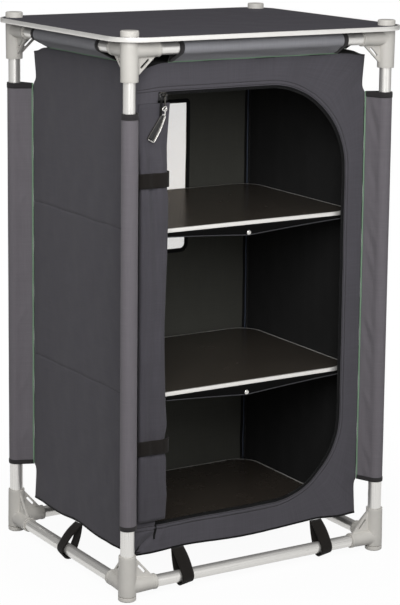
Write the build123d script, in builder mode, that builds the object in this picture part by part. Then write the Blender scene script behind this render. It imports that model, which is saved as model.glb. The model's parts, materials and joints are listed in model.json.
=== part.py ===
from build123d import *
import os
from math import atan2, degrees, hypot

# Camping cupboard: an aluminium tube frame plugged together in moulded corners, a loose table top, and a
# cloth cupboard with two shelves that hangs inside the frame from sleeves.
# Millimetres. +X is to the right, +Y to the back and +Z up. The origin is on the floor, below the centre.

# Table top, which sets the frame's width and depth
table_width = 600.0
table_depth = 500.0
table_corner = 55.0
table_thickness = 8.0
table_overhang = 33.0
knob_rise = 10.0
knob_play = 0.6

# Frame
total_height = 1000.0
tube_wall = 1.2
rail_dia = 22.0
lower_tube_dia = 25.0
upper_tube_dia = 22.0
bottom_rail_z = 25.0
tube_split_z = 500.0
tube_overlap = 60.0
plug_play = 0.1

# Corner connectors
barrel_dia = 32.0
barrel_draft = 0.6
barrel_edge = 1.5
bottom_barrel_reach = 56.0
top_barrel_reach = 54.0
arm_reach = 56.0
arm_root_dia = 29.0
arm_end_dia = 26.4
arm_ring_dia = 27.6
arm_ring_length = 5.0
arm_socket_start = 20.0
socket_floor_wall = 4.0
gusset_reach = 49.0
bottom_gusset_height = 50.0
top_gusset_height = 44.0
gusset_thickness = 4.0
gusset_slot_length = 22.0
gusset_slot_width = 4.5
gusset_edge = 3.5

# Screw feet
foot_height = 8.0
foot_edge = 2.5
foot_stem_dia = 8.0
foot_stem_length = 22.0
foot_stem_play = 0.05
foot_bore_spare = 1.0
seat_gap = 0.3

# Shelves
shelf_side_gap = 4.0
shelf_end_gap = 11.0
shelf_corner = 46.0
shelf_thickness = 7.0
upper_shelf_top = 647.0
lower_shelf_top = 353.0
floor_board_rise = 10.5

# Edge rims of the table top and the shelves
rim_wall = 1.6
rim_lip = 4.0
rim_lip_thickness = 0.8
board_play = 0.1

# Cloth cupboard: its gap to the tubes' axes at the sides, below the top rails and above the bottom rails
frame_gap = 26.0
top_sleeve_drop = 27.2
bottom_loop_rise = 44.5
cloth = 1.2
floor_cloth_drop = 0.3

# Door opening in the front, square at the left, where the door is sewn on: the borders that it leaves
opening_left_border = 43.0
opening_right_border = 41.0
opening_top_border = 50.0
opening_bottom_border = 48.5
opening_top_radius = 165.0
opening_bottom_radius = 150.0

# Ventilation window in the back
window_width = 182.0
window_height = 290.0
window_top_border = 125.5
window_corner = 12.0
net_thickness = 0.8
net_margin = 6.0

# Sleeves round the frame
sleeve_cloth = 1.2
sleeve_play = 0.5
seam_radius = 0.4
piping_dia = 4.0
soft_gap = 0.3
corner_sleeve_bottom_gap = 65.0
corner_sleeve_top_gap = 71.5
front_sleeve_end_gap = 34.0
side_sleeve_end_gap = 33.0
sleeve_end_slant = 2.0

# Webbing
webbing = 1.4
loop_width = 25.0
front_loop_inset = 117.0
side_loop_y = 10.0
strap_height = 26.0
low_strap_rise = 149.0
high_strap_drop = 150.0

# Zip
zip_tape_width = 5.0
zip_tape_thickness = 0.8
zip_coil = 2.4
slider_length = 12.0
slider_plate = 1.5
slider_play = 0.5
slider_start = 12.0
slider_web = 2.5
slider_top_lip = 2.5
bridge_gap = 4.0
bridge_bar = 1.8
bridge_leg = 2.0
link_play = 0.6
link_wire = 1.4
pull_thickness = 2.4
pull_border = 1.8
pull_link_width = 2.4
pull_ring_drop = 24.0
pull_ring_dia = 9.0
pull_frame_drop = 33.0
pull_frame_top = 6.0
pull_frame_bend = (-8.0, -56.0)
pull_frame_tip = (-23.0, -81.0)
pull_frame_corner = (-35.0, -73.5)

# Rolled door: width, depth and fold depth of its section, from the loose lower end to the flat top
roll_edge_gap = 4.0
roll_gap = 0.3
roll_end = (53.0, 9.0, 3.0)
roll_low = (55.0, 15.0, 5.0)
roll_bulge = (55.0, 21.0, 5.0)
roll_tied = (52.0, 19.0, 2.0)
roll_full = (55.0, 23.0, 5.0)
roll_middle = (56.0, 24.0, 6.0)
roll_shoulder = (55.0, 13.0, 3.0)
roll_flat = (56.0, 3.4, 0.6)
roll_top = (56.0, 2.6, 0.4)
roll_end_rise = 11.0
roll_low_rise = 52.0
roll_bulge_gap = 12.0
roll_full_gap = 20.0
roll_shoulder_gap = 13.0
roll_flat_drop = 94.0
roll_top_drop = 14.0
fold_shoulder_share = 0.72
fold_edge_share = 0.3

# Slings under the shelves
sling_drop = 0.3
hem_front_gap = 2.0
hem_side_drop = 3.0
hem_middle_drop = 20.0
stud_dia = 9.0
stud_height = 2.0
stud_rise = 6.5

# Worked out from the sizes above
frame_width = table_width - 2 * table_overhang
frame_depth = table_depth - 2 * table_overhang
table_underside = total_height - knob_rise - table_thickness
top_rail_z = table_underside - seat_gap - arm_root_dia / 2
body_half_width = frame_width / 2 - frame_gap
body_half_depth = frame_depth / 2 - frame_gap
body_top = top_rail_z - top_sleeve_drop
body_bottom = bottom_rail_z + bottom_loop_rise
body_height = body_top - body_bottom
body_middle_z = (body_top + body_bottom) / 2
inner_half_width = body_half_width - cloth
inner_half_depth = body_half_depth - cloth
socket_floor = rail_dia / 2 + plug_play + socket_floor_wall
shelf_width = 2 * (inner_half_width - shelf_side_gap)
shelf_depth = 2 * (inner_half_depth - shelf_end_gap)
floor_board_top = body_bottom + floor_board_rise
opening_left = opening_left_border - body_half_width
opening_right = body_half_width - opening_right_border
opening_bottom = body_bottom + opening_bottom_border
opening_top = body_top - opening_top_border
window_middle_z = body_top - window_top_border - window_height / 2
strap_heights = (opening_bottom + low_strap_rise, opening_top - high_strap_drop)
rail_shortening = 2 * arm_socket_start
left = -frame_width / 2
front = -frame_depth / 2
corners = [
    ("front_left", -1, -1, 0),
    ("front_right", 1, -1, 90),
    ("back_right", 1, 1, 180),
    ("back_left", -1, 1, 270),
]

os.makedirs("parts", exist_ok=True)


def at_corner(x_side, y_side, turn, z):
    """Place a connector's own frame at a corner, turned so that its arms point along the rails."""
    return Location((x_side * frame_width / 2, y_side * frame_depth / 2, z), (0, 0, turn))


def connector_blank(socket_dia, outer_reach, barrel_reach, gusset_height):
    """Three-way moulding: an upright socket along +Z, arms along +X and +Y, a slotted gusset on each."""
    slope = Vector(gusset_reach - barrel_dia / 2, 0) - Vector(0, gusset_height - arm_end_dia / 2)
    inward = Vector(-1, 0) * (-slope.Y / slope.length) + Vector(0, -1) * (slope.X / slope.length)
    edge_middle = (Vector(gusset_reach, arm_end_dia / 2) + Vector(barrel_dia / 2, gusset_height)) * 0.5
    slot_middle = edge_middle + inward * (gusset_edge + gusset_slot_width / 2)
    slot_angle = degrees(atan2(slope.Y, slope.X))
    with BuildPart() as blank:
        with BuildSketch(Plane.XZ):
            with BuildLine():
                Polyline(
                    (0, -outer_reach),
                    (barrel_dia / 2, -outer_reach),
                    (barrel_dia / 2, 0),
                    (barrel_dia / 2 - barrel_draft, barrel_reach),
                    (0, barrel_reach),
                    close=True,
                )
            make_face()
        revolve(axis=Axis.Z)
        chamfer(blank.edges().filter_by(GeomType.CIRCLE).group_by(Axis.Z)[0], barrel_edge)
        for plane, axis in ((Plane.XZ, Axis.X), (Plane.YZ, Axis.Y)):
            with BuildSketch(plane):
                with BuildLine():
                    Polyline(
                        (0, 0),
                        (0, arm_root_dia / 2),
                        (barrel_dia / 2, arm_root_dia / 2),
                        (arm_reach - arm_ring_length, arm_end_dia / 2),
                        (arm_reach - arm_ring_length, arm_ring_dia / 2),
                        (arm_reach, arm_ring_dia / 2),
                        (arm_reach, 0),
                        close=True,
                    )
                make_face()
            revolve(axis=axis)
            with BuildSketch(plane):
                with BuildLine():
                    Polyline(
                        (0, 0),
                        (gusset_reach, 0),
                        (gusset_reach, arm_end_dia / 2),
                        (barrel_dia / 2, gusset_height),
                        (0, gusset_height),
                        close=True,
                    )
                make_face()
                with Locations((slot_middle.X, slot_middle.Y)):
                    SlotOverall(gusset_slot_length, gusset_slot_width, slot_angle, mode=Mode.SUBTRACT)
            extrude(amount=gusset_thickness / 2, both=True)
        with BuildSketch(Plane.XY.offset(socket_floor)):
            Circle(socket_dia / 2 + plug_play)
        extrude(amount=barrel_reach - socket_floor, mode=Mode.SUBTRACT)
        for arm in (Vector(1, 0, 0), Vector(0, 1, 0)):
            with BuildSketch(Plane(origin=arm * arm_socket_start, z_dir=arm)):
                Circle(rail_dia / 2 + plug_play)
            extrude(amount=arm_reach - arm_socket_start, mode=Mode.SUBTRACT)
    return blank.part


def tube(outer_dia, length, plane):
    """Round tube that starts on a plane and runs along its normal."""
    with BuildPart() as piece:
        with BuildSketch(plane):
            Circle(outer_dia / 2)
            Circle(outer_dia / 2 - tube_wall, mode=Mode.SUBTRACT)
        extrude(amount=length)
    return piece.part


def edge_rim(width, depth, corner, thickness, underside):
    """Channel of bent strip that goes round a board, with a lip over and under it."""
    with BuildPart() as rim:
        for height, z, inset in (
            (thickness, underside, rim_wall),
            (rim_lip_thickness, underside, rim_lip),
            (rim_lip_thickness, underside + thickness - rim_lip_thickness, rim_lip),
        ):
            with BuildSketch(Plane.XY.offset(z)):
                RectangleRounded(width, depth, corner)
                RectangleRounded(width - 2 * inset, depth - 2 * inset, corner - inset, mode=Mode.SUBTRACT)
            extrude(amount=height)
    return rim.part


def rimmed_board(width, depth, corner, thickness, underside):
    """Board that fills the channel of its rim, and stands level with the upper lip inside it."""
    with BuildPart() as board:
        for inset, board_thickness in (
            (rim_wall + board_play, thickness - 2 * rim_lip_thickness),
            (rim_lip + board_play, thickness - rim_lip_thickness),
        ):
            with BuildSketch(Plane.XY.offset(underside + rim_lip_thickness)):
                RectangleRounded(width - 2 * inset, depth - 2 * inset, corner - inset)
            extrude(amount=board_thickness)
    return board.part


def cloth_wrap(plane, inner_dia, reach, length, thickness, bead_dia=0.0):
    """Cloth that goes round a tube and comes together at a seam, which lies on the plane's +X.

    The section is the hull of a circle round the tube and a small one at the seam, with a bead of
    piping sewn into the seam where bead_dia is given. It runs along the plane's normal.
    """
    seam_x = reach - max(seam_radius + thickness, bead_dia / 2)
    with BuildPart() as wrap:
        with BuildSketch(plane):
            Circle(inner_dia / 2 + thickness)
            with Locations((seam_x, 0)):
                Circle(seam_radius + thickness)
            make_hull()
            if bead_dia:
                with Locations((seam_x, 0)):
                    Circle(bead_dia / 2)
        extrude(amount=length)
        with BuildSketch(plane):
            Circle(inner_dia / 2)
            with Locations((seam_x, 0)):
                Circle(seam_radius)
            make_hull()
        extrude(amount=length, mode=Mode.SUBTRACT)
    return wrap.part


def opening_outline(inset):
    """Outline of the door opening, drawn in at the top, the right and the bottom, never at the left."""
    low = opening_bottom + inset
    high = opening_top - inset
    right = opening_right - inset
    low_centre = (opening_right - opening_bottom_radius, opening_bottom + opening_bottom_radius)
    high_centre = (opening_right - opening_top_radius, opening_top - opening_top_radius)
    with BuildSketch(mode=Mode.PRIVATE) as outline:
        with BuildLine():
            Line((opening_left, low), (low_centre[0], low))
            CenterArc(low_centre, opening_bottom_radius - inset, -90, 90)
            Line((right, low_centre[1]), (right, high_centre[1]))
            CenterArc(high_centre, opening_top_radius - inset, 0, 90)
            Line((high_centre[0], high), (opening_left, high))
            Line((opening_left, high), (opening_left, low))
        make_face()
    return outline.sketch


# Corner connectors, rails and uprights
bottom_blank = connector_blank(
    lower_tube_dia, bottom_rail_z - foot_height, bottom_barrel_reach, bottom_gusset_height
)
top_blank = connector_blank(upper_tube_dia, total_height - top_rail_z, top_barrel_reach, top_gusset_height)
for corner, x_side, y_side, turn in corners:
    with BuildPart() as bottom_connector:
        add(bottom_blank)
        with BuildSketch(Plane.XY.offset(foot_height - bottom_rail_z)):
            Circle(foot_stem_dia / 2 + foot_stem_play)
        extrude(amount=foot_stem_length + foot_bore_spare, mode=Mode.SUBTRACT)
    bottom_connector.part.locate(at_corner(x_side, y_side, turn, bottom_rail_z))
    bottom_connector.part.label = f"bottom_connector_{corner}"
    export_step(bottom_connector.part, f"parts/bottom_connector_{corner}.step")

    with BuildPart() as top_connector:
        add(mirror(top_blank, about=Plane.XY, mode=Mode.PRIVATE))
    top_connector.part.locate(at_corner(x_side, y_side, turn, top_rail_z))
    top_connector.part.label = f"top_connector_{corner}"
    export_step(top_connector.part, f"parts/top_connector_{corner}.step")

    with BuildPart() as foot:
        with BuildSketch(Plane.XY):
            Circle(barrel_dia / 2)
        extrude(amount=foot_height - seat_gap)
        fillet(foot.edges().group_by(Axis.Z)[0], foot_edge)
        with BuildSketch(Plane.XY.offset(foot_height - seat_gap)):
            Circle(foot_stem_dia / 2)
        extrude(amount=foot_stem_length)
    foot.part.locate(at_corner(x_side, y_side, turn, 0))
    foot.part.label = f"foot_{corner}"
    export_step(foot.part, f"parts/foot_{corner}.step")

    upright_foot = Plane((x_side * frame_width / 2, y_side * frame_depth / 2, bottom_rail_z + socket_floor))
    lower_length = tube_split_z - upright_foot.origin.Z
    upper_start = upright_foot.offset(lower_length - tube_overlap)
    lower_upright = tube(lower_tube_dia, lower_length, upright_foot)
    lower_upright.label = f"lower_upright_{corner}"
    export_step(lower_upright, f"parts/lower_upright_{corner}.step")

    upper_length = top_rail_z - socket_floor - upper_start.origin.Z
    upper_upright = tube(upper_tube_dia, upper_length, upper_start)
    upper_upright.label = f"upper_upright_{corner}"
    export_step(upper_upright, f"parts/upper_upright_{corner}.step")

for level, rail_z in (("bottom", bottom_rail_z), ("top", top_rail_z)):
    for side, y in (("front", front), ("back", -front)):
        start = Plane(origin=(left + arm_socket_start, y, rail_z), z_dir=(1, 0, 0))
        rail = tube(rail_dia, frame_width - rail_shortening, start)
        rail.label = f"{side}_{level}_rail"
        export_step(rail, f"parts/{side}_{level}_rail.step")
    for side, x in (("left", left), ("right", -left)):
        start = Plane(origin=(x, front + arm_socket_start, rail_z), z_dir=(0, 1, 0))
        rail = tube(rail_dia, frame_depth - rail_shortening, start)
        rail.label = f"{side}_{level}_rail"
        export_step(rail, f"parts/{side}_{level}_rail.step")

# Table top, held sideways by the top connectors, whose closed ends come up through it
table_rim = edge_rim(table_width, table_depth, table_corner, table_thickness, table_underside)
table_rim.label = "table_rim"
export_step(table_rim, "parts/table_rim.step")

with BuildPart() as table_top:
    add(rimmed_board(table_width, table_depth, table_corner, table_thickness, table_underside))
    with BuildSketch(Plane.XY.offset(table_underside)):
        with GridLocations(frame_width, frame_depth, 2, 2):
            Circle(barrel_dia / 2 + knob_play)
    extrude(amount=table_thickness, mode=Mode.SUBTRACT)
table_top.part.label = "table_top"
export_step(table_top.part, "parts/table_top.step")

# Shelves and floor board
for shelf, shelf_top in (
    ("upper_shelf", upper_shelf_top),
    ("lower_shelf", lower_shelf_top),
    ("floor_board", floor_board_top),
):
    underside = shelf_top - shelf_thickness
    shelf_rim = edge_rim(shelf_width, shelf_depth, shelf_corner, shelf_thickness, underside)
    shelf_rim.label = f"{shelf}_rim"
    export_step(shelf_rim, f"parts/{shelf}_rim.step")
    shelf_board = rimmed_board(shelf_width, shelf_depth, shelf_corner, shelf_thickness, underside)
    shelf_board.label = shelf
    export_step(shelf_board, f"parts/{shelf}.step")

# Cloth cupboard: side, back and front panels, ceiling and floor
for side, x in (("left", -body_half_width), ("right", inner_half_width)):
    with BuildPart() as side_panel:
        with BuildSketch(Plane.YZ.offset(x)):
            with Locations((0, body_middle_z)):
                Rectangle(2 * inner_half_depth, body_height)
        extrude(amount=cloth)
    side_panel.part.label = f"{side}_panel"
    export_step(side_panel.part, f"parts/{side}_panel.step")

with BuildPart() as front_panel:
    with BuildSketch(Plane.XZ.offset(inner_half_depth)):
        with Locations((0, body_middle_z)):
            Rectangle(2 * body_half_width, body_height)
        add(opening_outline(0), mode=Mode.SUBTRACT)
    extrude(amount=cloth)
front_panel.part.label = "front_panel"
export_step(front_panel.part, "parts/front_panel.step")

with BuildPart() as back_panel:
    with BuildSketch(Plane.XZ.offset(-body_half_depth)):
        with Locations((0, body_middle_z)):
            Rectangle(2 * body_half_width, body_height)
        with Locations((0, window_middle_z)):
            RectangleRounded(window_width, window_height, window_corner, mode=Mode.SUBTRACT)
    extrude(amount=cloth)
back_panel.part.label = "back_panel"
export_step(back_panel.part, "parts/back_panel.step")

with BuildPart() as window_net:
    with BuildSketch(Plane.XZ.offset(-inner_half_depth)):
        with Locations((0, window_middle_z)):
            RectangleRounded(window_width + 2 * net_margin, window_height + 2 * net_margin, window_corner)
    extrude(amount=net_thickness)
window_net.part.label = "window_net"
export_step(window_net.part, "parts/window_net.step")

floor_cloth_top = floor_board_top - shelf_thickness - floor_cloth_drop
for panel, z in (("ceiling_cloth", body_top - cloth), ("floor_cloth", floor_cloth_top - cloth)):
    with BuildPart() as level_panel:
        with BuildSketch(Plane.XY.offset(z)):
            Rectangle(2 * inner_half_width, 2 * inner_half_depth)
        extrude(amount=cloth)
    level_panel.part.label = panel
    export_step(level_panel.part, f"parts/{panel}.step")

# Slings: cloth that each shelf lies on, with a front hem that sags to a press stud
hem_y = shelf_depth / 2 + hem_front_gap
for shelf, shelf_top in (("upper", upper_shelf_top), ("lower", lower_shelf_top)):
    sling_top = shelf_top - shelf_thickness - sling_drop
    with BuildPart() as sling:
        with BuildSketch(Plane.XY.offset(sling_top - cloth)):
            with Locations((0, (inner_half_depth - net_thickness - hem_y) / 2)):
                Rectangle(2 * inner_half_width, inner_half_depth - net_thickness + hem_y)
        extrude(amount=cloth)
        with BuildSketch(Plane.XZ.offset(hem_y - cloth)):
            with BuildLine():
                side_low = sling_top - cloth - hem_side_drop
                ThreePointArc(
                    (-inner_half_width, side_low),
                    (0, sling_top - hem_middle_drop),
                    (inner_half_width, side_low),
                )
                Polyline(
                    (inner_half_width, side_low),
                    (inner_half_width, sling_top),
                    (-inner_half_width, sling_top),
                    (-inner_half_width, side_low),
                )
            make_face()
        extrude(amount=cloth)
    sling.part.label = f"{shelf}_sling"
    export_step(sling.part, f"parts/{shelf}_sling.step")

with BuildPart() as press_studs:
    for shelf_top in (upper_shelf_top, lower_shelf_top):
        stud_z = shelf_top - shelf_thickness - sling_drop - hem_middle_drop + stud_rise
        with BuildSketch(Plane.XZ.offset(hem_y)):
            with Locations((0, stud_z)):
                Circle(stud_dia / 2)
        extrude(amount=stud_height)
    chamfer(press_studs.edges().group_by(Axis.Y)[0], stud_height / 2)
press_studs.part.label = "press_studs"
export_step(press_studs.part, "parts/press_studs.step")

# Corner sleeves, from each upright to the cupboard's corner
corner_sleeve_bottom = body_bottom + corner_sleeve_bottom_gap
corner_sleeve_length = body_height - corner_sleeve_bottom_gap - corner_sleeve_top_gap
corner_reach = hypot(frame_gap, frame_gap) - soft_gap
for corner, x_side, y_side, turn in corners:
    start = Plane(
        origin=(x_side * frame_width / 2, y_side * frame_depth / 2, corner_sleeve_bottom),
        x_dir=(-x_side, -y_side, 0),
        z_dir=(0, 0, 1),
    )
    corner_sleeve = cloth_wrap(
        start,
        lower_tube_dia + 2 * sleeve_play,
        corner_reach,
        corner_sleeve_length,
        sleeve_cloth,
        piping_dia,
    )
    corner_sleeve.label = f"corner_sleeve_{corner}"
    export_step(corner_sleeve, f"parts/corner_sleeve_{corner}.step")

# Top sleeves, from each top rail to the cupboard's top edge, with slanted ends
front_sleeve_length = frame_width - 2 * (arm_reach + front_sleeve_end_gap)
side_sleeve_length = frame_depth - 2 * (arm_reach + side_sleeve_end_gap)
top_reach = hypot(frame_gap, top_sleeve_drop) - soft_gap
for side, outward, offset_to_rail, length in (
    ("front", Vector(0, -1, 0), frame_depth / 2, front_sleeve_length),
    ("back", Vector(0, 1, 0), frame_depth / 2, front_sleeve_length),
    ("left", Vector(-1, 0, 0), frame_width / 2, side_sleeve_length),
    ("right", Vector(1, 0, 0), frame_width / 2, side_sleeve_length),
):
    along = outward.cross(Vector(0, 0, 1))
    to_seam = Vector(0, 0, -top_sleeve_drop) - outward * frame_gap
    middle = outward * offset_to_rail + Vector(0, 0, top_rail_z)
    with BuildPart() as top_sleeve:
        start = Plane(origin=middle - along * (length / 2), x_dir=to_seam, z_dir=along)
        add(cloth_wrap(start, rail_dia + 2 * sleeve_play, top_reach, length, sleeve_cloth, piping_dia))
        for end in (-1, 1):
            seam_end = middle + to_seam + along * (end * length / 2)
            square_to_cut = along * (end * to_seam.length) - to_seam.normalized() * sleeve_end_slant
            split(bisect_by=Plane(origin=seam_end, z_dir=square_to_cut), keep=Keep.BOTTOM)
    top_sleeve.part.label = f"{side}_top_sleeve"
    export_step(top_sleeve.part, f"parts/{side}_top_sleeve.step")

# Webbing loops that tie the cupboard's bottom edge to the bottom rails
front_loop_x = frame_width / 2 - front_loop_inset
loop_reach = hypot(frame_gap, bottom_loop_rise) - soft_gap
with BuildPart() as webbing_loops:
    for outward, offset_to_rail, places in (
        (Vector(0, -1, 0), frame_depth / 2, (-front_loop_x, front_loop_x)),
        (Vector(0, 1, 0), frame_depth / 2, (-front_loop_x, front_loop_x)),
        (Vector(-1, 0, 0), frame_width / 2, (side_loop_y,)),
        (Vector(1, 0, 0), frame_width / 2, (side_loop_y,)),
    ):
        along = Vector(abs(outward.Y), abs(outward.X), 0)
        to_seam = Vector(0, 0, bottom_loop_rise) - outward * frame_gap
        for place in places:
            middle = outward * offset_to_rail + along * (place - loop_width / 2) + Vector(0, 0, bottom_rail_z)
            start = Plane(origin=middle, x_dir=to_seam, z_dir=along)
            add(cloth_wrap(start, rail_dia + 2 * sleeve_play, loop_reach, loop_width, webbing))
webbing_loops.part.label = "webbing_loops"
export_step(webbing_loops.part, "parts/webbing_loops.step")

# Rolled door: gathered cloth with three soft folds, flat above where the zip pull hangs, drawn in by the
# two straps and loose at its lower end. Each station is a height with the section there.
roll_back = body_half_depth + roll_gap
roll_left = roll_edge_gap - body_half_width
half_strap = strap_height / 2
strap_low, strap_high = strap_heights
roll_stations = [
    (opening_bottom + roll_end_rise, roll_end),
    (opening_bottom + roll_low_rise, roll_low),
    (strap_low - half_strap - roll_bulge_gap, roll_bulge),
    (strap_low - half_strap, roll_tied),
    (strap_low + half_strap, roll_tied),
    (strap_low + half_strap + roll_full_gap, roll_full),
    ((strap_low + strap_high) / 2, roll_middle),
    (strap_high - half_strap - roll_full_gap, roll_full),
    (strap_high - half_strap, roll_tied),
    (strap_high + half_strap, roll_tied),
    (strap_high + half_strap + roll_shoulder_gap, roll_shoulder),
    (opening_top - roll_flat_drop, roll_flat),
    (opening_top - roll_top_drop, roll_top),
]


def roll_section(section, grow=0.0):
    """Section of the roll: a flat back against the front panel and three rounded folds in front."""
    width, depth, fold = section
    back = -roll_back
    left_x = roll_left - grow
    right_x = roll_left + width + grow
    step = (right_x - left_x) / 3
    valley = back - depth - grow + fold
    crest = back - depth - grow
    shoulder = back - (depth + grow) * fold_shoulder_share
    left_shoulder = (left_x + step * fold_edge_share, shoulder)
    right_shoulder = (right_x - step * fold_edge_share, shoulder)
    with BuildLine(mode=Mode.PRIVATE) as outline:
        ThreePointArc((left_x, back), left_shoulder, (left_x + step, valley))
        ThreePointArc((left_x + step, valley), ((left_x + right_x) / 2, crest), (right_x - step, valley))
        ThreePointArc((right_x - step, valley), right_shoulder, (right_x, back))
        Line((right_x, back), (left_x, back))
    return outline.line


with BuildPart() as rolled_door:
    for height, section in roll_stations:
        with BuildSketch(Plane.XY.offset(height)):
            with BuildLine():
                add(roll_section(section))
            make_face()
    loft(ruled=True)
rolled_door.part.label = "rolled_door"
export_step(rolled_door.part, "parts/rolled_door.step")

with BuildPart() as door_straps:
    for height in strap_heights:
        with BuildSketch(Plane.XY.offset(height - half_strap)):
            with BuildLine():
                add(roll_section(roll_tied, soft_gap + webbing))
            make_face()
        extrude(amount=strap_height)
        with BuildSketch(Plane.XY.offset(height - half_strap)):
            with BuildLine():
                add(roll_section(roll_tied, soft_gap))
            make_face()
        extrude(amount=strap_height, mode=Mode.SUBTRACT)
door_straps.part.label = "door_straps"
export_step(door_straps.part, "parts/door_straps.step")

# Zip: a tape behind the opening's edge with a coil along its rim, a slider on the coil and its pull
coil_y = inner_half_depth - zip_tape_thickness / 2
with BuildPart() as zip_tape:
    with BuildSketch(Plane.XZ.offset(inner_half_depth - zip_tape_thickness)):
        add(opening_outline(-zip_tape_width))
        add(opening_outline(zip_tape_width), mode=Mode.SUBTRACT)
    extrude(amount=zip_tape_thickness)
    with BuildSketch(Plane.XZ.offset(coil_y - zip_coil / 2)):
        add(opening_outline(zip_tape_width - zip_coil / 2))
        add(opening_outline(zip_tape_width + zip_coil / 2), mode=Mode.SUBTRACT)
    extrude(amount=zip_coil)
zip_tape.part.label = "zip_tape"
export_step(zip_tape.part, "parts/zip_tape.step")

coil_z = opening_top - zip_tape_width
slider_x = opening_left + slider_start
slot_half = zip_coil / 2 + slider_play
slider_half = slot_half + slider_plate
slider_low = coil_z - slot_half - slider_web
slider_high = coil_z + slot_half + slider_top_lip
bar_y = -(coil_y + slider_half + bridge_gap + bridge_bar / 2)
with BuildPart() as zip_slider:
    with BuildSketch(Plane.YZ.offset(slider_x - slider_length / 2)):
        with Locations((-coil_y, (slider_low + slider_high) / 2)):
            Rectangle(2 * slider_half, slider_high - slider_low)
        with Locations((-coil_y, (coil_z - slot_half + slider_high) / 2)):
            Rectangle(2 * slot_half, slider_high - coil_z + slot_half, mode=Mode.SUBTRACT)
    extrude(amount=slider_length)
    with BuildSketch(Plane.XY.offset(coil_z - bridge_bar / 2)):
        with Locations((slider_x, bar_y)):
            Rectangle(slider_length, bridge_bar)
        for side in (-1, 1):
            leg_x = slider_x + side * (slider_length - bridge_leg) / 2
            with Locations((leg_x, bar_y + bridge_gap / 2)):
                Rectangle(bridge_leg, bridge_bar + bridge_gap)
    extrude(amount=bridge_bar)
zip_slider.part.label = "zip_slider"
export_step(zip_slider.part, "parts/zip_slider.step")

# The pull hangs from the slider's bar by a link and a ring, and its open flared end leans to the left
link_inner = hypot(bridge_bar, bridge_bar) / 2 + link_play
link_outer = link_inner + link_wire
link_middle = link_inner + link_wire / 2
frame_left = (-pull_frame_top - pull_link_width / 2, -pull_frame_drop)
frame_right = (pull_link_width / 2, -pull_frame_drop)
with BuildPart() as zip_pull:
    with BuildSketch(Plane.XZ):
        with BuildLine():
            ThreePointArc(frame_right, pull_frame_bend, pull_frame_tip)
            Polyline(pull_frame_tip, pull_frame_corner, frame_left, frame_right)
        make_face()
        offset(amount=-pull_border, mode=Mode.SUBTRACT)
        with Locations((0, -(link_middle + pull_frame_drop + pull_border) / 2)):
            Rectangle(pull_link_width, pull_frame_drop + pull_border - link_middle)
        with Locations((0, -pull_ring_drop)):
            Circle(pull_ring_dia / 2)
            Circle(pull_ring_dia / 2 - pull_border, mode=Mode.SUBTRACT)
    extrude(amount=pull_thickness / 2, both=True)
    with BuildSketch(Plane.YZ):
        Circle(link_outer)
    extrude(amount=link_wire / 2, both=True)
    with BuildSketch(Plane.YZ):
        Circle(link_inner)
    extrude(amount=link_wire, both=True, mode=Mode.SUBTRACT)
zip_pull.part.locate(Location((slider_x, bar_y, coil_z)))
zip_pull.part.label = "zip_pull"
export_step(zip_pull.part, "parts/zip_pull.step")
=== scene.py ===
"""Camping cupboard: the looks of its cloth, plastic, metal and boards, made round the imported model.

Metres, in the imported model's own frame: +X right, +Y back, +Z up, the floor at zero.
"""

import json
import math
from functools import partial

import bmesh
import bpy
import numpy as np
from bpy.props import FloatProperty, FloatVectorProperty, PointerProperty
from mathutils import Matrix, Vector


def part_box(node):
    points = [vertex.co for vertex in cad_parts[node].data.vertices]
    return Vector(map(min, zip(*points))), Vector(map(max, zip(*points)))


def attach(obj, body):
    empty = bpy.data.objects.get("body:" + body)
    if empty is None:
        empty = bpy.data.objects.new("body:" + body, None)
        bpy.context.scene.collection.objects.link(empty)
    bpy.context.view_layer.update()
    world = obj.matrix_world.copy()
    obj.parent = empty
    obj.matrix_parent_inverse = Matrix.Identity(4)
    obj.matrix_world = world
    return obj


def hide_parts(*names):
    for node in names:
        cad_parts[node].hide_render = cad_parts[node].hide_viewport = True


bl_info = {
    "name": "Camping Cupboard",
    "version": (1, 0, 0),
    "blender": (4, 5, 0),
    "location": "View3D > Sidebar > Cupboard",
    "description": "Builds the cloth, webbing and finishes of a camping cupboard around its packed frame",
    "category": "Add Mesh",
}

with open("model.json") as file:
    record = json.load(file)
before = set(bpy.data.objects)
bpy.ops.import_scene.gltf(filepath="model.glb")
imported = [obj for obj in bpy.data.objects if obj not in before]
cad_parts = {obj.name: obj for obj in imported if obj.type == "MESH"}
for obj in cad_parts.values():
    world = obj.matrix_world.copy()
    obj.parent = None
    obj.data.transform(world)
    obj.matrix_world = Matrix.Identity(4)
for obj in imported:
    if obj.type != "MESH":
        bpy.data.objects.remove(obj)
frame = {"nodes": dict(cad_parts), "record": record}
MM = 0.001

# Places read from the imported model
front_low, front_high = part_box("front_panel")
tape_low, tape_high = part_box("zip_tape")
net_low, net_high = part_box("window_net")
sleeve_low, sleeve_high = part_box("corner_sleeve_front_left")
front_rail_low, front_rail_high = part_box("front_top_rail")
low_rail_low, low_rail_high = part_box("front_bottom_rail")
upright_low, upright_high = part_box("lower_upright_front_left")
roll_low, roll_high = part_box("rolled_door")
strap_low, strap_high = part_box("door_straps")
pull_low, pull_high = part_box("zip_pull")

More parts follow.
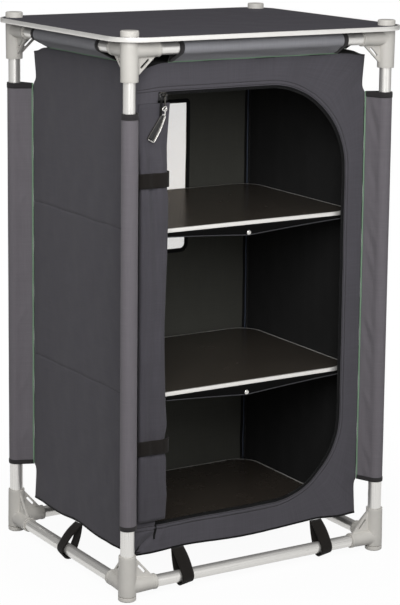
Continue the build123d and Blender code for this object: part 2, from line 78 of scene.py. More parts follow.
HALF_WIDTH = front_high.x
HALF_DEPTH = -front_low.y
BOTTOM = front_low.z
TOP = front_high.z
UPRIGHT_X = -(upright_low.x + upright_high.x) / 2
UPRIGHT_Y = -(upright_low.y + upright_high.y) / 2
UPRIGHT_RADIUS = (upright_high.x - upright_low.x) / 2
TOP_RAIL_Z = (front_rail_low.z + front_rail_high.z) / 2
BOTTOM_RAIL_Z = (low_rail_low.z + low_rail_high.z) / 2
RAIL_RADIUS = (front_rail_high.z - front_rail_low.z) / 2
SLEEVE_BOTTOM = sleeve_low.z
SLEEVE_TOP = sleeve_high.z
FRONT_SEAM_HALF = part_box("front_top_sleeve")[1].x
SIDE_SEAM_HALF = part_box("left_top_sleeve")[1].y
FLOOR_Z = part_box("floor_cloth")[1].z

# Webbing loops along the body's bottom edge
FRONT_LOOP_X = 150 * MM
SIDE_LOOP_Y = 10 * MM
LOOP_HALF = 12.5 * MM

# Seams of the slings in the side panels
SLING_TOPS = (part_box("upper_sling")[1].z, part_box("lower_sling")[1].z)
SEAM_RISE = 8 * MM

# Door opening: the zip tape stands 5 mm outside its edge, except at the left, where the door is sewn on
TAPE_WIDTH = 5 * MM
OPENING_LEFT = tape_low.x
OPENING_RIGHT = tape_high.x - TAPE_WIDTH
OPENING_TOP = tape_high.z - TAPE_WIDTH
OPENING_BOTTOM = tape_low.z + TAPE_WIDTH
OPENING_TOP_RADIUS = 165 * MM
OPENING_BOTTOM_RADIUS = 150 * MM
HIGH_CENTRE = np.array([OPENING_RIGHT - OPENING_TOP_RADIUS, OPENING_TOP - OPENING_TOP_RADIUS])
LOW_CENTRE = np.array([OPENING_RIGHT - OPENING_BOTTOM_RADIUS, OPENING_BOTTOM + OPENING_BOTTOM_RADIUS])
OPENING_STITCHES = (2.0 * MM, 8.0 * MM)

# The zip's coil: the length of one turn of it, and the steps that a turn is drawn in
COIL_PITCH = 1.5 * MM
COIL_STEPS = 6

# Opening in the zip pull's frame, seen from the front, from the axis that it swings on: its left edge is
# straight, and its right edge is a parabola through the bend
PULL_TOP_LEFT = np.array([-7.2, -33]) * MM
PULL_TOP_RIGHT = np.array([1.2, -33]) * MM
PULL_BEND = np.array([-8, -56]) * MM
PULL_TIP = np.array([-23, -81]) * MM
PULL_CORNER = np.array([-35, -73.5]) * MM
PULL_BEND_SHARE = 0.45
PULL_RING_RADIUS = 4.5 * MM
PULL_AXIS_X = pull_high.x - PULL_RING_RADIUS
PULL_AXIS_Z = pull_low.z - PULL_TIP[1]

# Tape that binds the cupboard's corner seams on the inside
SEAM_BINDING_WIDTH = 13 * MM

# Ventilation window, inside the net's margin
NET_MARGIN = 6 * MM
WINDOW_LOW = Vector((net_low.x + NET_MARGIN, 0, net_low.z + NET_MARGIN))
WINDOW_HIGH = Vector((net_high.x - NET_MARGIN, 0, net_high.z - NET_MARGIN))
WINDOW_LEAN = 2.4 * MM
WINDOW_CORNERS = {(1, 1): 2 * MM, (-1, 1): 2 * MM, (-1, -1): 10 * MM, (1, -1): 10 * MM}

# Each corner's side in x and y
CORNERS = {"front_left": (-1, -1), "front_right": (1, -1), "back_right": (1, 1), "back_left": (-1, 1)}

# Each side's way out, the distance of its rails and the distance of the body's own side
SIDES = {
    "front": (np.array([0.0, -1, 0]), UPRIGHT_Y, HALF_DEPTH),
    "back": (np.array([0.0, 1, 0]), UPRIGHT_Y, HALF_DEPTH),
    "left": (np.array([-1.0, 0, 0]), UPRIGHT_X, HALF_WIDTH),
    "right": (np.array([1.0, 0, 0]), UPRIGHT_X, HALF_WIDTH),
}

# Share of the corner droop at each top corner, and how far each corner sleeve's lower and upper end have
# slipped down their upright
DROOP_SHARES = {"front_left": 1.0, "front_right": 0.4, "back_right": 0.8, "back_left": 0.95}
SLEEVE_SLIPS = {"front_left": (5.5 * MM, 9 * MM)}

# How far a corner sleeve's outer side bulges, the heights of its creases above its lower end, and the shares
# of a top sleeve's half length at which its creases lie
SLEEVE_FILLED = {"front_left": 2.4 * MM}
SLEEVE_CREASES = (0.06, 0.16, 0.30, 0.52)
VALANCE_CREASES = (-0.93, -0.86, 0.86, 0.93)

# Creases of the front panel by its lower left and upper right corner, in mm and degrees: the place from the
# corner, the angle, half the length, half the width and the depth
FRONT_CREASES = (
    ((-HALF_WIDTH, BOTTOM), (
        (16, 14, 42, 22, 4.0, 3.0), (9, 27, 58, 18, 3.6, -2.4), (27, 22, 34, 20, 4.0, 2.8),
        (24, 36, 20, 16, 3.6, -2.0), (58, 34, 70, 14, 4.0, -2.0), (43, 28, 89, 18, 3.6, 3.2),
    )),
    ((HALF_WIDTH, TOP), ((-40, -34, 24, 26, 5.0, 1.2), (-24, -52, 62, 26, 4.0, -1.0))),
)

# Distances from the opening's edge at which the panel's grid follows the folded edge and its stitching, in mm
EDGE_LEVELS = (0, 0.4, 1.0, 1.5, 2.0, 2.5, 3.2, 4.5, 5.5, 6.2, 6.8, 7.4, 8.0, 8.6, 9.4, 11.0)

# Bend of the slings' cloth over their front edge
HEM_BEND = 3 * MM

# Rolled door: its turns, the heights at which it is tied, the share by which its innermost turn is smaller,
# half the width of its straps, and a point of the upright line through its middle
ROLL_TURNS = 4.6
ROLL_TIED = (267 * MM, 740 * MM)
ROLL_SHRINK = 0.7
STRAP_HALF = 13 * MM
ROLL_LINE = (roll_low.x + 26 * MM, roll_high.y - 12 * MM, 0)

# The photograph's camera, in the frame of an image 400 wide and 605 high
IMAGE_HEIGHT = 605
CAMERA_PLACE = (-1.9280, -3.1461, 1.2969)
CAMERA_AZIMUTH = -31.605
CAMERA_ELEVATION = 9.549
CAMERA_ROLL = 0.595
CAMERA_FOCUS_PIXELS = 2014.4
CAMERA_CENTRE_ROW = 190.0

# Lamps by their place, size and power, and what they look at
LAMPS = {"Key": ((-0.95, -1.65, 1.55), 1.1, 24), "Fill": ((0.7, -2.6, 1.0), 1.4, 5)}
LAMP_TARGET = Vector((0, 0, 0.8))

# Studio light, brighter from the key's side, and the pale floor: what it throws back, how bright the camera
# sees it, and the share of its glow within NEAR_FLOOR and beyond FAR_FLOOR
KEY_SIDE = Vector((-0.5, -0.75, 0.4)).normalized()
STUDIO_DARK, STUDIO_BRIGHT = 0.16, 0.74
FLOOR_HALF = 6.0
FLOOR_BOUNCE, FLOOR_SEEN = (0.13, 0.13, 0.13, 1), (0.95, 0.95, 0.95, 1)
NEAR_FLOOR, FAR_FLOOR = 0.3, 0.9
NEAR_GLOW, FAR_GLOW = 0.955, 1.0
WHITE = (1, 1, 1, 1)


def linear(red, green, blue):
    """Screen colour from 0 to 255 as scene linear values."""
    screen = np.array([red, green, blue]) / 255
    return tuple(np.where(screen <= 0.04045, screen / 12.92, ((screen + 0.055) / 1.055) ** 2.4))


def length_property(name, description, default):
    """A length in metres that the panel shows."""
    return FloatProperty(name=name, description=description, default=default, unit="LENGTH", precision=4)


def colour_property(name, description, red, green, blue):
    """A colour that the panel shows, given as a screen colour."""
    return FloatVectorProperty(
        name=name, description=description, default=linear(red, green, blue), subtype="COLOR", min=0, max=1
    )


class CupboardSizes(bpy.types.PropertyGroup):
    """Sizes of the cloth's make and of how it hangs."""

    cloth: length_property("Cloth", "Thickness of the cupboard's cloth", 1.0 * MM)
    sleeve_cloth: length_property("Sleeve cloth", "Thickness of the sleeves' cloth", 0.8 * MM)
    grid: length_property("Grid", "Largest step between points of the cloth", 5 * MM)
    corner_droop: length_property("Corner droop", "How far the top corners hang down", 13 * MM)
    corner_slack: length_property("Corner slack", "How far a corner draws in past its sleeve", 4.5 * MM)
    bottom_sag: length_property("Bottom sag", "How far the bottom edge sags between its loops", 5 * MM)
    ripple: length_property("Ripple", "Depth of the soft folds in the panels", 1.1 * MM)
    stitch: length_property("Stitch", "Length of one stitch", 3 * MM)
    binding: length_property("Binding", "Width of the dark binding on the sleeves' ends", 10 * MM)
    piping: length_property("Piping", "Diameter of the green piping", 3.4 * MM)
    webbing: length_property("Webbing", "Thickness of the webbing", 1.4 * MM)


class CupboardColours(bpy.types.PropertyGroup):
    """Colours of the cupboard's materials."""

    dark_cloth: colour_property("Dark cloth", "Body of the cupboard", 79, 77, 83)
    # Painted shade: the door's cloth is the body's cloth made darker for the shade that falls on the rolled
    # door
    door_cloth: colour_property("Shaded door cloth", "The door's cloth, painted darker for the shade on the roll", 73, 71, 77)
    light_cloth: colour_property("Light cloth", "Sleeves round the uprights", 110, 106, 111)
    # Painted light: the valances' cloth is the sleeves' light cloth made lighter for the light thrown up onto
    # their downward-facing sides
    top_cloth: colour_property("Top cloth", "Sleeves round the top rails", 147, 147, 152)
    lining: colour_property("Lining", "Inside of the cloth, slings and floor", 32, 32, 32)
    # Painted light: the back panel's inside is the lining made lighter for the light that falls on the back
    # wall
    back_lining: colour_property("Lit back lining", "Inside of the back panel", 80, 80, 75)
    binding: colour_property("Binding", "Tape on the sleeves' ends", 46, 44, 45)
    piping: colour_property("Piping", "Cord sewn into the sleeves' seams", 121, 150, 125)
    webbing: colour_property("Webbing", "Loops and straps", 32, 29, 27)
    sling: colour_property("Slings", "Cloth under the shelves", 12, 12, 12)
    hem_edge: colour_property("Hem edge", "Edge of the slings' hems", 60, 60, 64)
    seam_edge: colour_property("Seam edge", "Edge of the bound corner seams", 72, 80, 96)
    zip: colour_property("Zip", "Zip tape and teeth", 18, 18, 19)
    plastic: colour_property("Plastic", "Corner connectors and feet", 206, 203, 197)
    aluminium: colour_property("Aluminium", "Tubes", 228, 226, 222)
    rim: colour_property("Rim", "Edge strips of the boards", 240, 238, 234)
    table: colour_property("Table top", "Laminate of the table top", 80, 78, 84)
    shelf: colour_property("Shelves", "Laminate of the shelves", 66, 61, 55)
    floor_board: colour_property("Floor board", "Laminate of the floor board", 66, 60, 54)
    metal: colour_property("Metal", "Zip pull and press studs", 204, 202, 198)
    slider: colour_property("Slider", "Zip slider", 84, 82, 79)
    net: colour_property("Net", "Net in the window", 244, 222, 196)


# Surfaces


def smooth_step(value, low, high):
    """Zero below low, one above high, and 3t^2 - 2t^3 between."""
    share = np.clip((value - low) / (high - low), 0, 1)
    return share * share * (3 - 2 * share)


def levels(low, high, step, fine=(), fine_step=1.5 * MM):
    """Rising numbers from low to high at most a step apart, closer within reach of each centre in fine."""
    coarse = np.linspace(low, high, max(2, int(math.ceil((high - low) / step)) + 1))
    close = [np.arange(centre - reach, centre + reach, fine_step) for centre, reach in fine]
    every = np.unique(np.concatenate([coarse, *close]))
    least = fine_step / 3
    inner = every[(every > low + least) & (every < high - least)]
    inner = inner[np.diff(inner, prepend=low) > least]
    return np.concatenate([[low], inner, [high]])


def ripples(a, b, seed, size, stretch=1.0, count=14):
    """Soft random relief: the sum of plane waves cos(k.p + phase) with seeded directions and lengths."""
    rng = np.random.default_rng(seed)
    angle = rng.uniform(0, 2 * math.pi, count)
    wave = 2 * math.pi / (size * rng.uniform(0.6, 1.7, count))
    phase = rng.uniform(0, 2 * math.pi, count)
    a = np.asarray(a)[..., None]
    b = np.asarray(b)[..., None] / stretch
    return np.cos(a * wave * np.cos(angle) + b * wave * np.sin(angle) + phase).sum(-1) / math.sqrt(count)


def pucker(a, b, place, angle, length, width):
    """One crease through a place at an angle in degrees: exp(-(across/width)^2 - (along/length)^2)."""
    turn = math.radians(angle)
    along = (a - place[0]) * math.cos(turn) + (b - place[1]) * math.sin(turn)
    across = (b - place[1]) * math.cos(turn) - (a - place[0]) * math.sin(turn)
    return np.exp(-((across / width) ** 2) - (along / length) ** 2)


def bell(value, centre, width):
    """One at the centre, falling off as exp(-((value - centre) / width)^2)."""
    return np.exp(-(((value - centre) / width) ** 2))


def lattice(first, second):
    """Two rows of numbers as the two parameters of a grid."""
    return np.meshgrid(first, second, indexing="ij")


def run_along(path):
    """Distance run along a path at each of its points."""
    return np.concatenate([[0], np.cumsum(np.linalg.norm(np.diff(path, axis=0), axis=-1))])


def points_at(path, run, at):
    """Points at given distances along a path, whose own points lie at the distances run."""
    return np.stack([np.interp(at, run, path[:, axis]) for axis in range(3)], -1)


def grid_uv(points):
    """Distances run along a grid's two directions, measured on its middle row and column."""
    along = run_along(points[:, points.shape[1] // 2])
    across = run_along(points[points.shape[0] // 2])
    return np.stack(lattice(along, across), axis=-1)


def corners_of(index):
    """The four corner numbers of each cell of a grid of numbers."""
    return np.stack([index[:-1, :-1], index[1:, :-1], index[1:, 1:], index[:-1, 1:]], -1).reshape(-1, 4)


def mesh_object(name, grids, outward=None, keep=None, merge=False, turn_out=False):
    """Object of quads from grids of points, each (rows, columns, 3), with UVs in metres.

    outward is the direction that the faces turn to on the whole. keep is a test on cell centres, and cells
    that fail it are left out. merge joins the grids where they meet, and turn_out then turns the faces of a
    closed shape outwards.
    """
    points, faces, uvs = [], [], []
    start = 0
    for grid in grids:
        rows, columns = grid.shape[:2]
        cells = corners_of(np.arange(rows * columns).reshape(rows, columns))
        flat = grid.reshape(-1, 3)
        if keep is not None:
            cells = cells[keep(flat[cells].mean(axis=1))]
        points.append(flat)
        uvs.append(grid_uv(grid).reshape(-1, 2)[cells.ravel()])
        faces.append(cells + start)
        start += rows * columns
    points, faces, uvs = np.vstack(points), np.vstack(faces), np.vstack(uvs)
    if outward is not None:
        corner = points[faces]
        normal = np.cross(corner[:, 2] - corner[:, 0], corner[:, 3] - corner[:, 1])
        if (normal @ np.asarray(outward, float)).sum() < 0:
            faces = faces[:, ::-1]
            uvs = uvs.reshape(-1, 4, 2)[:, ::-1].reshape(-1, 2)
    mesh = bpy.data.meshes.new(name)
    mesh.vertices.add(len(points))
    mesh.vertices.foreach_set("co", points.ravel())
    mesh.loops.add(faces.size)
    mesh.loops.foreach_set("vertex_index", faces.ravel().astype(np.int32))
    mesh.polygons.add(len(faces))
    mesh.polygons.foreach_set("loop_start", np.arange(0, faces.size, 4, dtype=np.int32))
    mesh.polygons.foreach_set("use_smooth", np.ones(len(faces), bool))
    mesh.uv_layers.new(name="UVMap").data.foreach_set("uv", uvs.ravel())
    mesh.update(calc_edges=True)
    mesh.validate()
    made = bpy.data.objects.new(name, mesh)
    bpy.context.scene.collection.objects.link(made)
    if merge or keep is not None:
        clean = bmesh.new()
        clean.from_mesh(mesh)
        if merge:
            bmesh.ops.remove_doubles(clean, verts=clean.verts, dist=0.02 * MM)
        loose = [vertex for vertex in clean.verts if not vertex.link_faces]
        bmesh.ops.delete(clean, geom=loose, context="VERTS")
        if turn_out:
            bmesh.ops.recalc_face_normals(clean, faces=clean.faces)
        clean.to_mesh(mesh)
        clean.free()
    return made


def frame_along(path, closed):
    """Directions across and up at each point of a path, with up as near to +Z or +Y as it can be."""
    ahead = np.roll(path, -1, 0) if closed else np.vstack([path[1:], 2 * path[-1:] - path[-2:-1]])
    behind = np.roll(path, 1, 0) if closed else np.vstack([2 * path[:1] - path[1:2], path[:-1]])
    along = ahead - behind
    along /= np.linalg.norm(along, axis=1)[:, None]
    steady = np.array([0.0, 1.0, 0.0]) if np.abs(along[:, 2]).mean() > 0.5 else np.array([0.0, 0.0, 1.0])
    across = np.cross(along, steady)
    across /= np.linalg.norm(across, axis=1)[:, None]
    return across, np.cross(across, along)


def tube_grid(path, radius, sides=8, closed=False):
    """Round tube along a path, its ends drawn shut: centre + radius (cos t across + sin t up)."""
    path = np.asarray(path, float)
    across, up = frame_along(path, closed)
    turn = np.linspace(0, 2 * math.pi, sides + 1)
    ring = np.cos(turn)[None, :, None] * across[:, None] + np.sin(turn)[None, :, None] * up[:, None]
    grid = path[:, None] + radius * ring
    if closed:
        return np.concatenate([grid, grid[:1]])
    ends = [np.repeat(path[end][None, None], sides + 1, axis=1) for end in (0, -1)]
    return np.concatenate([ends[0], grid, ends[1]])


def tube_object(name, path, radius, sides=8, closed=False):
    """Round tube along a path, with its faces outwards."""
    return mesh_object(name, [tube_grid(path, radius, sides, closed)], merge=True, turn_out=True)


def thicken(made, thickness, outer, inner=None, offset=-1.0):
    """Gives a sheet its thickness, with one finish outside and another inside and on its cut edge."""
    for finish in (outer, inner or outer, inner or outer):
        made.data.materials.append(MATERIALS[finish])
    solid = made.modifiers.new("Thickness", "SOLIDIFY")
    solid.thickness = thickness
    solid.offset = offset
    solid.use_even_offset = True
    solid.use_quality_normals = True
    solid.material_offset = 1
    solid.material_offset_rim = 2
    return made


def place(made, slot, nodes=(), body="frame"):
    """Rides the piece on its body and hides the nodes that it stands for; its slot is not used."""
    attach(made, body)
    if nodes:
        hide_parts(*nodes)
    return made


def dress(made, finish, slot, body="frame"):
    """Gives the piece one finish and places it."""
    made.data.materials.append(MATERIALS[finish])
    return place(made, slot, body=body)


def sheet(made, slot, nodes):
    place(made, slot, nodes)


def stitches(path, normal, stitch, gap=0.35, radius=0.35 * MM):
    """Row of stitches along a path: short grids arched over the cloth, one for each stitch.

    Each has 4 points along it and 3 across, at height radius (1 - t^4) and half width radius.
    """
    normal = np.asarray(normal, float)
    run = run_along(path)
    count = max(1, int(run[-1] / stitch))
    pitch = run[-1] / count
    share = np.linspace(-1, 1, 4)
    rise = radius * (1 - share**4)[:, None]
    grids = []
    for number in range(count):
        line = points_at(path, run, (number + 0.5) * pitch + share * pitch * (1 - gap) / 2)
        across = np.cross(line[-1] - line[0], normal)
        across *= radius / np.linalg.norm(across)
        grids.append(np.stack([line - across, line + normal * (rise + 0.3 * radius), line + across], 1))
    return grids


# How the cupboard's cloth hangs


def corner_slack(z, slack):
    """How far a corner edge of the body draws in: nothing along its sleeve, most just past its ends."""
    above = np.clip(z - SLEEVE_TOP, 0, None)
    below = np.clip(SLEEVE_BOTTOM - z, 0, None)
    past_top = (1 - np.exp(-above / (6 * MM))) * (1 - 0.75 * above / (TOP - SLEEVE_TOP))
    past_bottom = (1 - np.exp(-below / (6 * MM))) * (1 - 0.8 * below / (SLEEVE_BOTTOM - BOTTOM))
    return slack * (past_top + 0.7 * past_bottom)


def corner_droop(x, y, sizes):
    """How far the top corner of the quarter that a place lies in hangs down."""
    droop = 0.0
    for corner, (x_side, y_side) in CORNERS.items():
        droop = droop + DROOP_SHARES[corner] * (x * x_side >= 0) * (y * y_side > 0)
    return sizes.corner_droop * droop


def corner_share(place_along, seam_half, half):
    """Zero where the top sleeve holds the top edge, rising to one at the body's corner."""
    low, high = seam_half - 2 * MM, half + 14 * MM
    return (smooth_step(np.abs(place_along), low, high) / smooth_step(half, low, high)) ** 1.2


def hem_sag(flat, holds, depth):
    """Sag of the bottom edge: sin^2 of the share of the way between two holds, deeper on long spans."""
    sag = 0.0
    for start, end in zip(holds, holds[1:]):
        share = np.clip((flat - start) / (end - start), 0, 1)
        sag = sag + depth * min(1.0, (end - start) / (200 * MM)) * np.sin(share * math.pi) ** 2
    return sag


def hung(flat, z, sizes, half, seam_half, corner_fall, seed, still=0.0):
    """Where a point of a flat panel goes: its place along the panel, its height and how far it comes in.

    The corners droop by corner_fall and draw in, the bottom edge sags between its loops, and ripples give the
    panel its relief, less where still rises to one.
    """
    out = np.abs(flat)
    top_share = smooth_step(z, SLEEVE_TOP, TOP)
    low_share = 1 - smooth_step(z, BOTTOM, BOTTOM + 60 * MM)
    loops = (-FRONT_LOOP_X, FRONT_LOOP_X) if half == HALF_WIDTH else (SIDE_LOOP_Y,)
    share = corner_share(flat, seam_half, half) * top_share
    drop = share * (corner_fall - 1.2 * MM * np.sin(out / half * 26))
    sag = hem_sag(flat, (-half, *loops, half), sizes.bottom_sag)
    sag = low_share * (sag + 2.5 * MM * smooth_step(out, 0.75 * half, half))
    slack = corner_slack(z, sizes.corner_slack)
    calm = 1 - smooth_step(out, half - 30 * MM, half - 2 * MM)
    relief = sizes.ripple * (
        0.7 * ripples(flat, z, seed, 90 * MM, 3.5) + 0.35 * ripples(flat, z, seed + 1, 40 * MM, 1.6)
    )
    inward = slack * smooth_step(out, half - 45 * MM, half) + relief * calm * (1 - still)
    return flat * (1 - slack / half), z - drop - sag, inward


def front_points(x, z, sizes, lift=0.0):
    """Points of the front panel, with its creases, lifted off it by a distance towards the viewer."""
    fall = corner_droop(x, -HALF_DEPTH, sizes)
    still = bell(z, OPENING_TOP, 16 * MM) * (1 - smooth_step(x, 40 * MM, 90 * MM))
    along, height, inward = hung(x, z, sizes, HALF_WIDTH, FRONT_SEAM_HALF, fall, 11, still)
    for (corner_x, corner_z), creases in FRONT_CREASES:
        for aside, above, angle, reach, width, depth in creases:
            spot = (corner_x + aside * MM, corner_z + above * MM)
            inward = inward + depth * MM * pucker(x, z, spot, angle, reach * MM, width * MM)
    return np.stack([along, -HALF_DEPTH + inward - lift, height], -1)


def sling_seam(y, sling_top):
    """Height of a sling's seam in a side panel: a slight wave above the sling."""
    return sling_top + SEAM_RISE + 0.8 * MM * np.sin(y * 55 + sling_top * 90)


def side_points(side, y, z, sizes, lift=0.0):
    """Points of a side panel, with the slings' seams drawn in, lifted off it by a distance outwards."""
    fall = corner_droop(side * HALF_WIDTH, y, sizes)
    along, height, inward = hung(y, z, sizes, HALF_DEPTH, SIDE_SEAM_HALF, fall, 23 + side)
    for sling_top in SLING_TOPS:
        seam = bell(z, sling_seam(y, sling_top), 2.6 * MM)
        inward = inward + 1.3 * MM * seam * (np.abs(y) < HALF_DEPTH - 8 * MM)
    return np.stack([side * (HALF_WIDTH - inward + lift), along, height], -1)


def back_points(x, z, sizes, lift=0.0):
    """Points of the back panel, lifted off it by a distance to the back."""
    fall = corner_droop(x, HALF_DEPTH, sizes)
    along, height, inward = hung(x, z, sizes, HALF_WIDTH, FRONT_SEAM_HALF, fall, 37)
    return np.stack([along, HALF_DEPTH - inward + lift, height], -1)


def window_outline(reach):
    """Closed outline of the window grown by reach: straight sides joined by quarter circles.

    The circles' radius is the corner's radius + reach. The right side leans out to its top by WINDOW_LEAN.
    """
    middle, half = (WINDOW_LOW + WINDOW_HIGH) / 2, (WINDOW_HIGH - WINDOW_LOW) / 2
    arcs = []
    for quarter, (x_side, z_side) in enumerate(((1, 1), (-1, 1), (-1, -1), (1, -1))):
        radius = WINDOW_CORNERS[x_side, z_side]
        turn = np.linspace(quarter, quarter + 1, 9) * math.pi / 2
        centre = np.array([x_side * (half.x - radius), z_side * (half.z - radius)])
        arcs.append(centre + (radius + reach) * np.stack([np.cos(turn), np.sin(turn)], -1))
    line = [arcs[0][:1]]
    for arc, after in zip(arcs, arcs[1:] + arcs[:1]):
        share = np.linspace(0, 1, 40)[1:, None]
        line += [arc[1:], arc[-1] * (1 - share) + after[0] * share]
    line = np.vstack(line)
    lean = WINDOW_LEAN * np.clip((line[:, 1] / half.z + 1) / 2, 0, 1) * np.clip(line[:, 0] / half.x, 0, 1)
    return line + np.stack([middle.x + lean, np.full(len(line), middle.z)], -1)


def opening_edge(inset, step):
    """Flat outline of the door opening, drawn in by inset, from its top left round the right side."""
    right, high, low = OPENING_RIGHT - inset, OPENING_TOP - inset, OPENING_BOTTOM + inset
    high_radius, low_radius = OPENING_TOP_RADIUS - inset, OPENING_BOTTOM_RADIUS - inset
    high_turn = math.atan2(TOP - HIGH_CENTRE[1], HALF_WIDTH - HIGH_CENTRE[0])
    low_turn = math.atan2(LOW_CENTRE[1] - BOTTOM, HALF_WIDTH - LOW_CENTRE[0])

    def line(start, end):
        return np.linspace(start, end, max(2, int(abs(end - start) / step) + 1))

    def arc(centre, radius, start, end):
        count = max(3, int(abs(end - start) * (radius + inset) / step) + 1)
        turn = np.linspace(start, end, count)
        return centre + radius * np.stack([np.cos(turn), np.sin(turn)], -1)

    top = line(OPENING_LEFT, HIGH_CENTRE[0])[:-1]
    side = line(HIGH_CENTRE[1], LOW_CENTRE[1])[1:-1]
    bottom = line(LOW_CENTRE[0], OPENING_LEFT)[1:]
    return np.vstack([
        np.stack([top, np.full_like(top, high)], -1),
        arc(HIGH_CENTRE, high_radius, math.pi / 2, high_turn)[:-1],
        arc(HIGH_CENTRE, high_radius, high_turn, 0),
        np.stack([np.full_like(side, right), side], -1),
        arc(LOW_CENTRE, low_radius, 0, -low_turn)[:-1],
        arc(LOW_CENTRE, low_radius, -low_turn, -math.pi / 2),
        np.stack([bottom, np.full_like(bottom, low)], -1),
    ])


def opening_border(step):
    """The opening's edge, and where each of its points meets the panel's outer edge, straight out or along
    its radius."""
    edge = opening_edge(0.0, step)
    outer = edge.copy()
    x, z = edge.T
    high = (x > HIGH_CENTRE[0]) & (z > HIGH_CENTRE[1])
    low = (x > LOW_CENTRE[0]) & (z < LOW_CENTRE[1])
    for round_part, centre, limit in ((high, HIGH_CENTRE, TOP), (low, LOW_CENTRE, BOTTOM)):
        ray = edge[round_part] - centre
        room = np.abs(np.array([HALF_WIDTH, limit]) - centre)
        outer[round_part] = centre + ray * (room / np.maximum(np.abs(ray), 1e-9)).min(axis=1, keepdims=True)
    right = ~(high | low) & (x > OPENING_RIGHT - MM)
    level = ~(high | low | right)
    outer[right, 0] = HALF_WIDTH
    outer[level, 1] = np.where(z[level] > (TOP + BOTTOM) / 2, TOP, BOTTOM)
    return edge, outer


# Materials


def add_node(tree, kind, values=None, **settings):
    """Adds a node. Values are put on its inputs, or linked to them where they are sockets."""
    node = tree.nodes.new(kind)
    for key, value in settings.items():
        setattr(node, key, value)
    for key, value in (values or {}).items():
        if isinstance(value, bpy.types.NodeSocket):
            tree.links.new(value, node.inputs[key])
        else:
            node.inputs[key].default_value = value
    return node


def calculate(tree, operation, *values):
    """Result of a Math node."""
    return add_node(tree, "ShaderNodeMath", dict(enumerate(values)), operation=operation).outputs[0]


def mix_colours(tree, share, first, second):
    """Colour between two colours."""
    node = add_node(tree, "ShaderNodeMix", {0: share, 6: first, 7: second}, data_type="RGBA")
    return node.outputs[2]


def remap(tree, value, from_low, from_high, to_low, to_high):
    """Value carried from one range to another, held at its ends."""
    numbers = {0: value, 1: from_low, 2: from_high, 3: to_low, 4: to_high}
    return add_node(tree, "ShaderNodeMapRange", numbers).outputs[0]


def new_group(name, inputs, outputs):
    """Empty shader group with named sockets, with its own input and output nodes."""
    tree = bpy.data.node_groups.new(name, "ShaderNodeTree")
    for label, kind, value in inputs:
        socket = tree.interface.new_socket(label, in_out="INPUT", socket_type=kind)
        if value is not None:
            socket.default_value = value
    for label, kind in outputs:
        tree.interface.new_socket(label, in_out="OUTPUT", socket_type=kind)
    return tree, tree.nodes.new("NodeGroupInput").outputs, tree.nodes.new("NodeGroupOutput").inputs


def stretched(tree, vector, scale):
    """Coordinates times a scale for each axis."""
    return add_node(tree, "ShaderNodeVectorMath", {0: vector, 1: scale}, operation="MULTIPLY").outputs[0]


def shared(tree, group, values):
    """Outputs of one of the shared shader groups, with its own values."""
    return add_node(tree, "ShaderNodeGroup", values, node_tree=bpy.data.node_groups[group]).outputs


def woven_group():
    """Plain weave on coordinates in metres: thread relief, and warp and weft streaks as a shade."""
    tree, given, result = new_group(
        "Woven Cloth",
        [("Vector", "NodeSocketVector", None), ("Thread", "NodeSocketFloat", 0.7 * MM)],
        [("Height", "NodeSocketFloat"), ("Shade", "NodeSocketFloat")],
    )
    split = add_node(tree, "ShaderNodeSeparateXYZ", {0: given["Vector"]})
    waves = []
    for axis in (0, 1):
        turns = calculate(tree, "DIVIDE", split.outputs[axis], given["Thread"])
        waves.append(calculate(tree, "SINE", calculate(tree, "MULTIPLY", turns, math.pi)))
    over = calculate(tree, "MULTIPLY", waves[0], waves[1])
    tree.links.new(calculate(tree, "ABSOLUTE", over), result["Height"])
    streaks = []
    for scale in ((900.0, 14.0, 1.0), (14.0, 900.0, 1.0)):
        where = stretched(tree, given["Vector"], scale)
        streaks.append(add_node(tree, "ShaderNodeTexNoise", {"Vector": where, "Scale": 1.0}).outputs[0])
    both = calculate(tree, "MULTIPLY", calculate(tree, "ADD", streaks[0], streaks[1]), 0.5)
    tree.links.new(remap(tree, both, 0.35, 0.65, 0.0, 1.0), result["Shade"])


def mottle_group():
    """Uneven dye, handling marks and dust: a mask of slow noise with finer noise in it."""
    tree, given, result = new_group(
        "Mottle",
        [("Vector", "NodeSocketVector", None), ("Size", "NodeSocketFloat", 0.1)],
        [("Mask", "NodeSocketFloat")],
    )
    scale = calculate(tree, "DIVIDE", 1.0, given["Size"])
    numbers = {"Vector": given["Vector"], "Scale": scale, "Detail": 4.0, "Roughness": 0.6}
    noise = add_node(tree, "ShaderNodeTexNoise", numbers)
    tree.links.new(remap(tree, noise.outputs[0], 0.3, 0.7, 0.0, 1.0), result["Mask"])


def drawn_group():
    """Fine lines along one direction, as on drawn or brushed metal: noise on stretched coordinates."""
    tree, given, result = new_group(
        "Drawn Lines",
        [("Vector", "NodeSocketVector", None), ("Stretch", "NodeSocketVector", (1.0, 1.0, 1.0))],
        [("Shade", "NodeSocketFloat")],
    )
    where = stretched(tree, given["Vector"], given["Stretch"])
    noise = add_node(tree, "ShaderNodeTexNoise", {"Vector": where, "Scale": 1.0, "Detail": 3.0})
    tree.links.new(remap(tree, noise.outputs[0], 0.3, 0.7, 0.0, 1.0), result["Shade"])


def blank_material(name):
    """Material with an empty tree but for a Principled BSDF and its output."""
    material = bpy.data.materials.new(name)
    material.use_nodes = True
    tree = material.node_tree
    tree.nodes.clear()
    shader = tree.nodes.new("ShaderNodeBsdfPrincipled")
    output = tree.nodes.new("ShaderNodeOutputMaterial")
    tree.links.new(shader.outputs[0], output.inputs["Surface"])
    return material, tree, shader


def tint(tree, shader, mask, colour, darker, lighter):
    """Base colour between a colour's darker and lighter versions, by a mask."""
    value = np.array(colour[:3])
    dark, light = (*(value * darker), 1.0), (*np.minimum(value * lighter, 1.0), 1.0)
    tree.links.new(mix_colours(tree, mask, dark, light), shader.inputs["Base Color"])


def raise_by(tree, shader, strength, distance, height):
    """Relief of a height over the surface."""
    bump = add_node(tree, "ShaderNodeBump", {"Strength": strength, "Distance": distance, "Height": height})
    tree.links.new(bump.outputs[0], shader.inputs["Normal"])


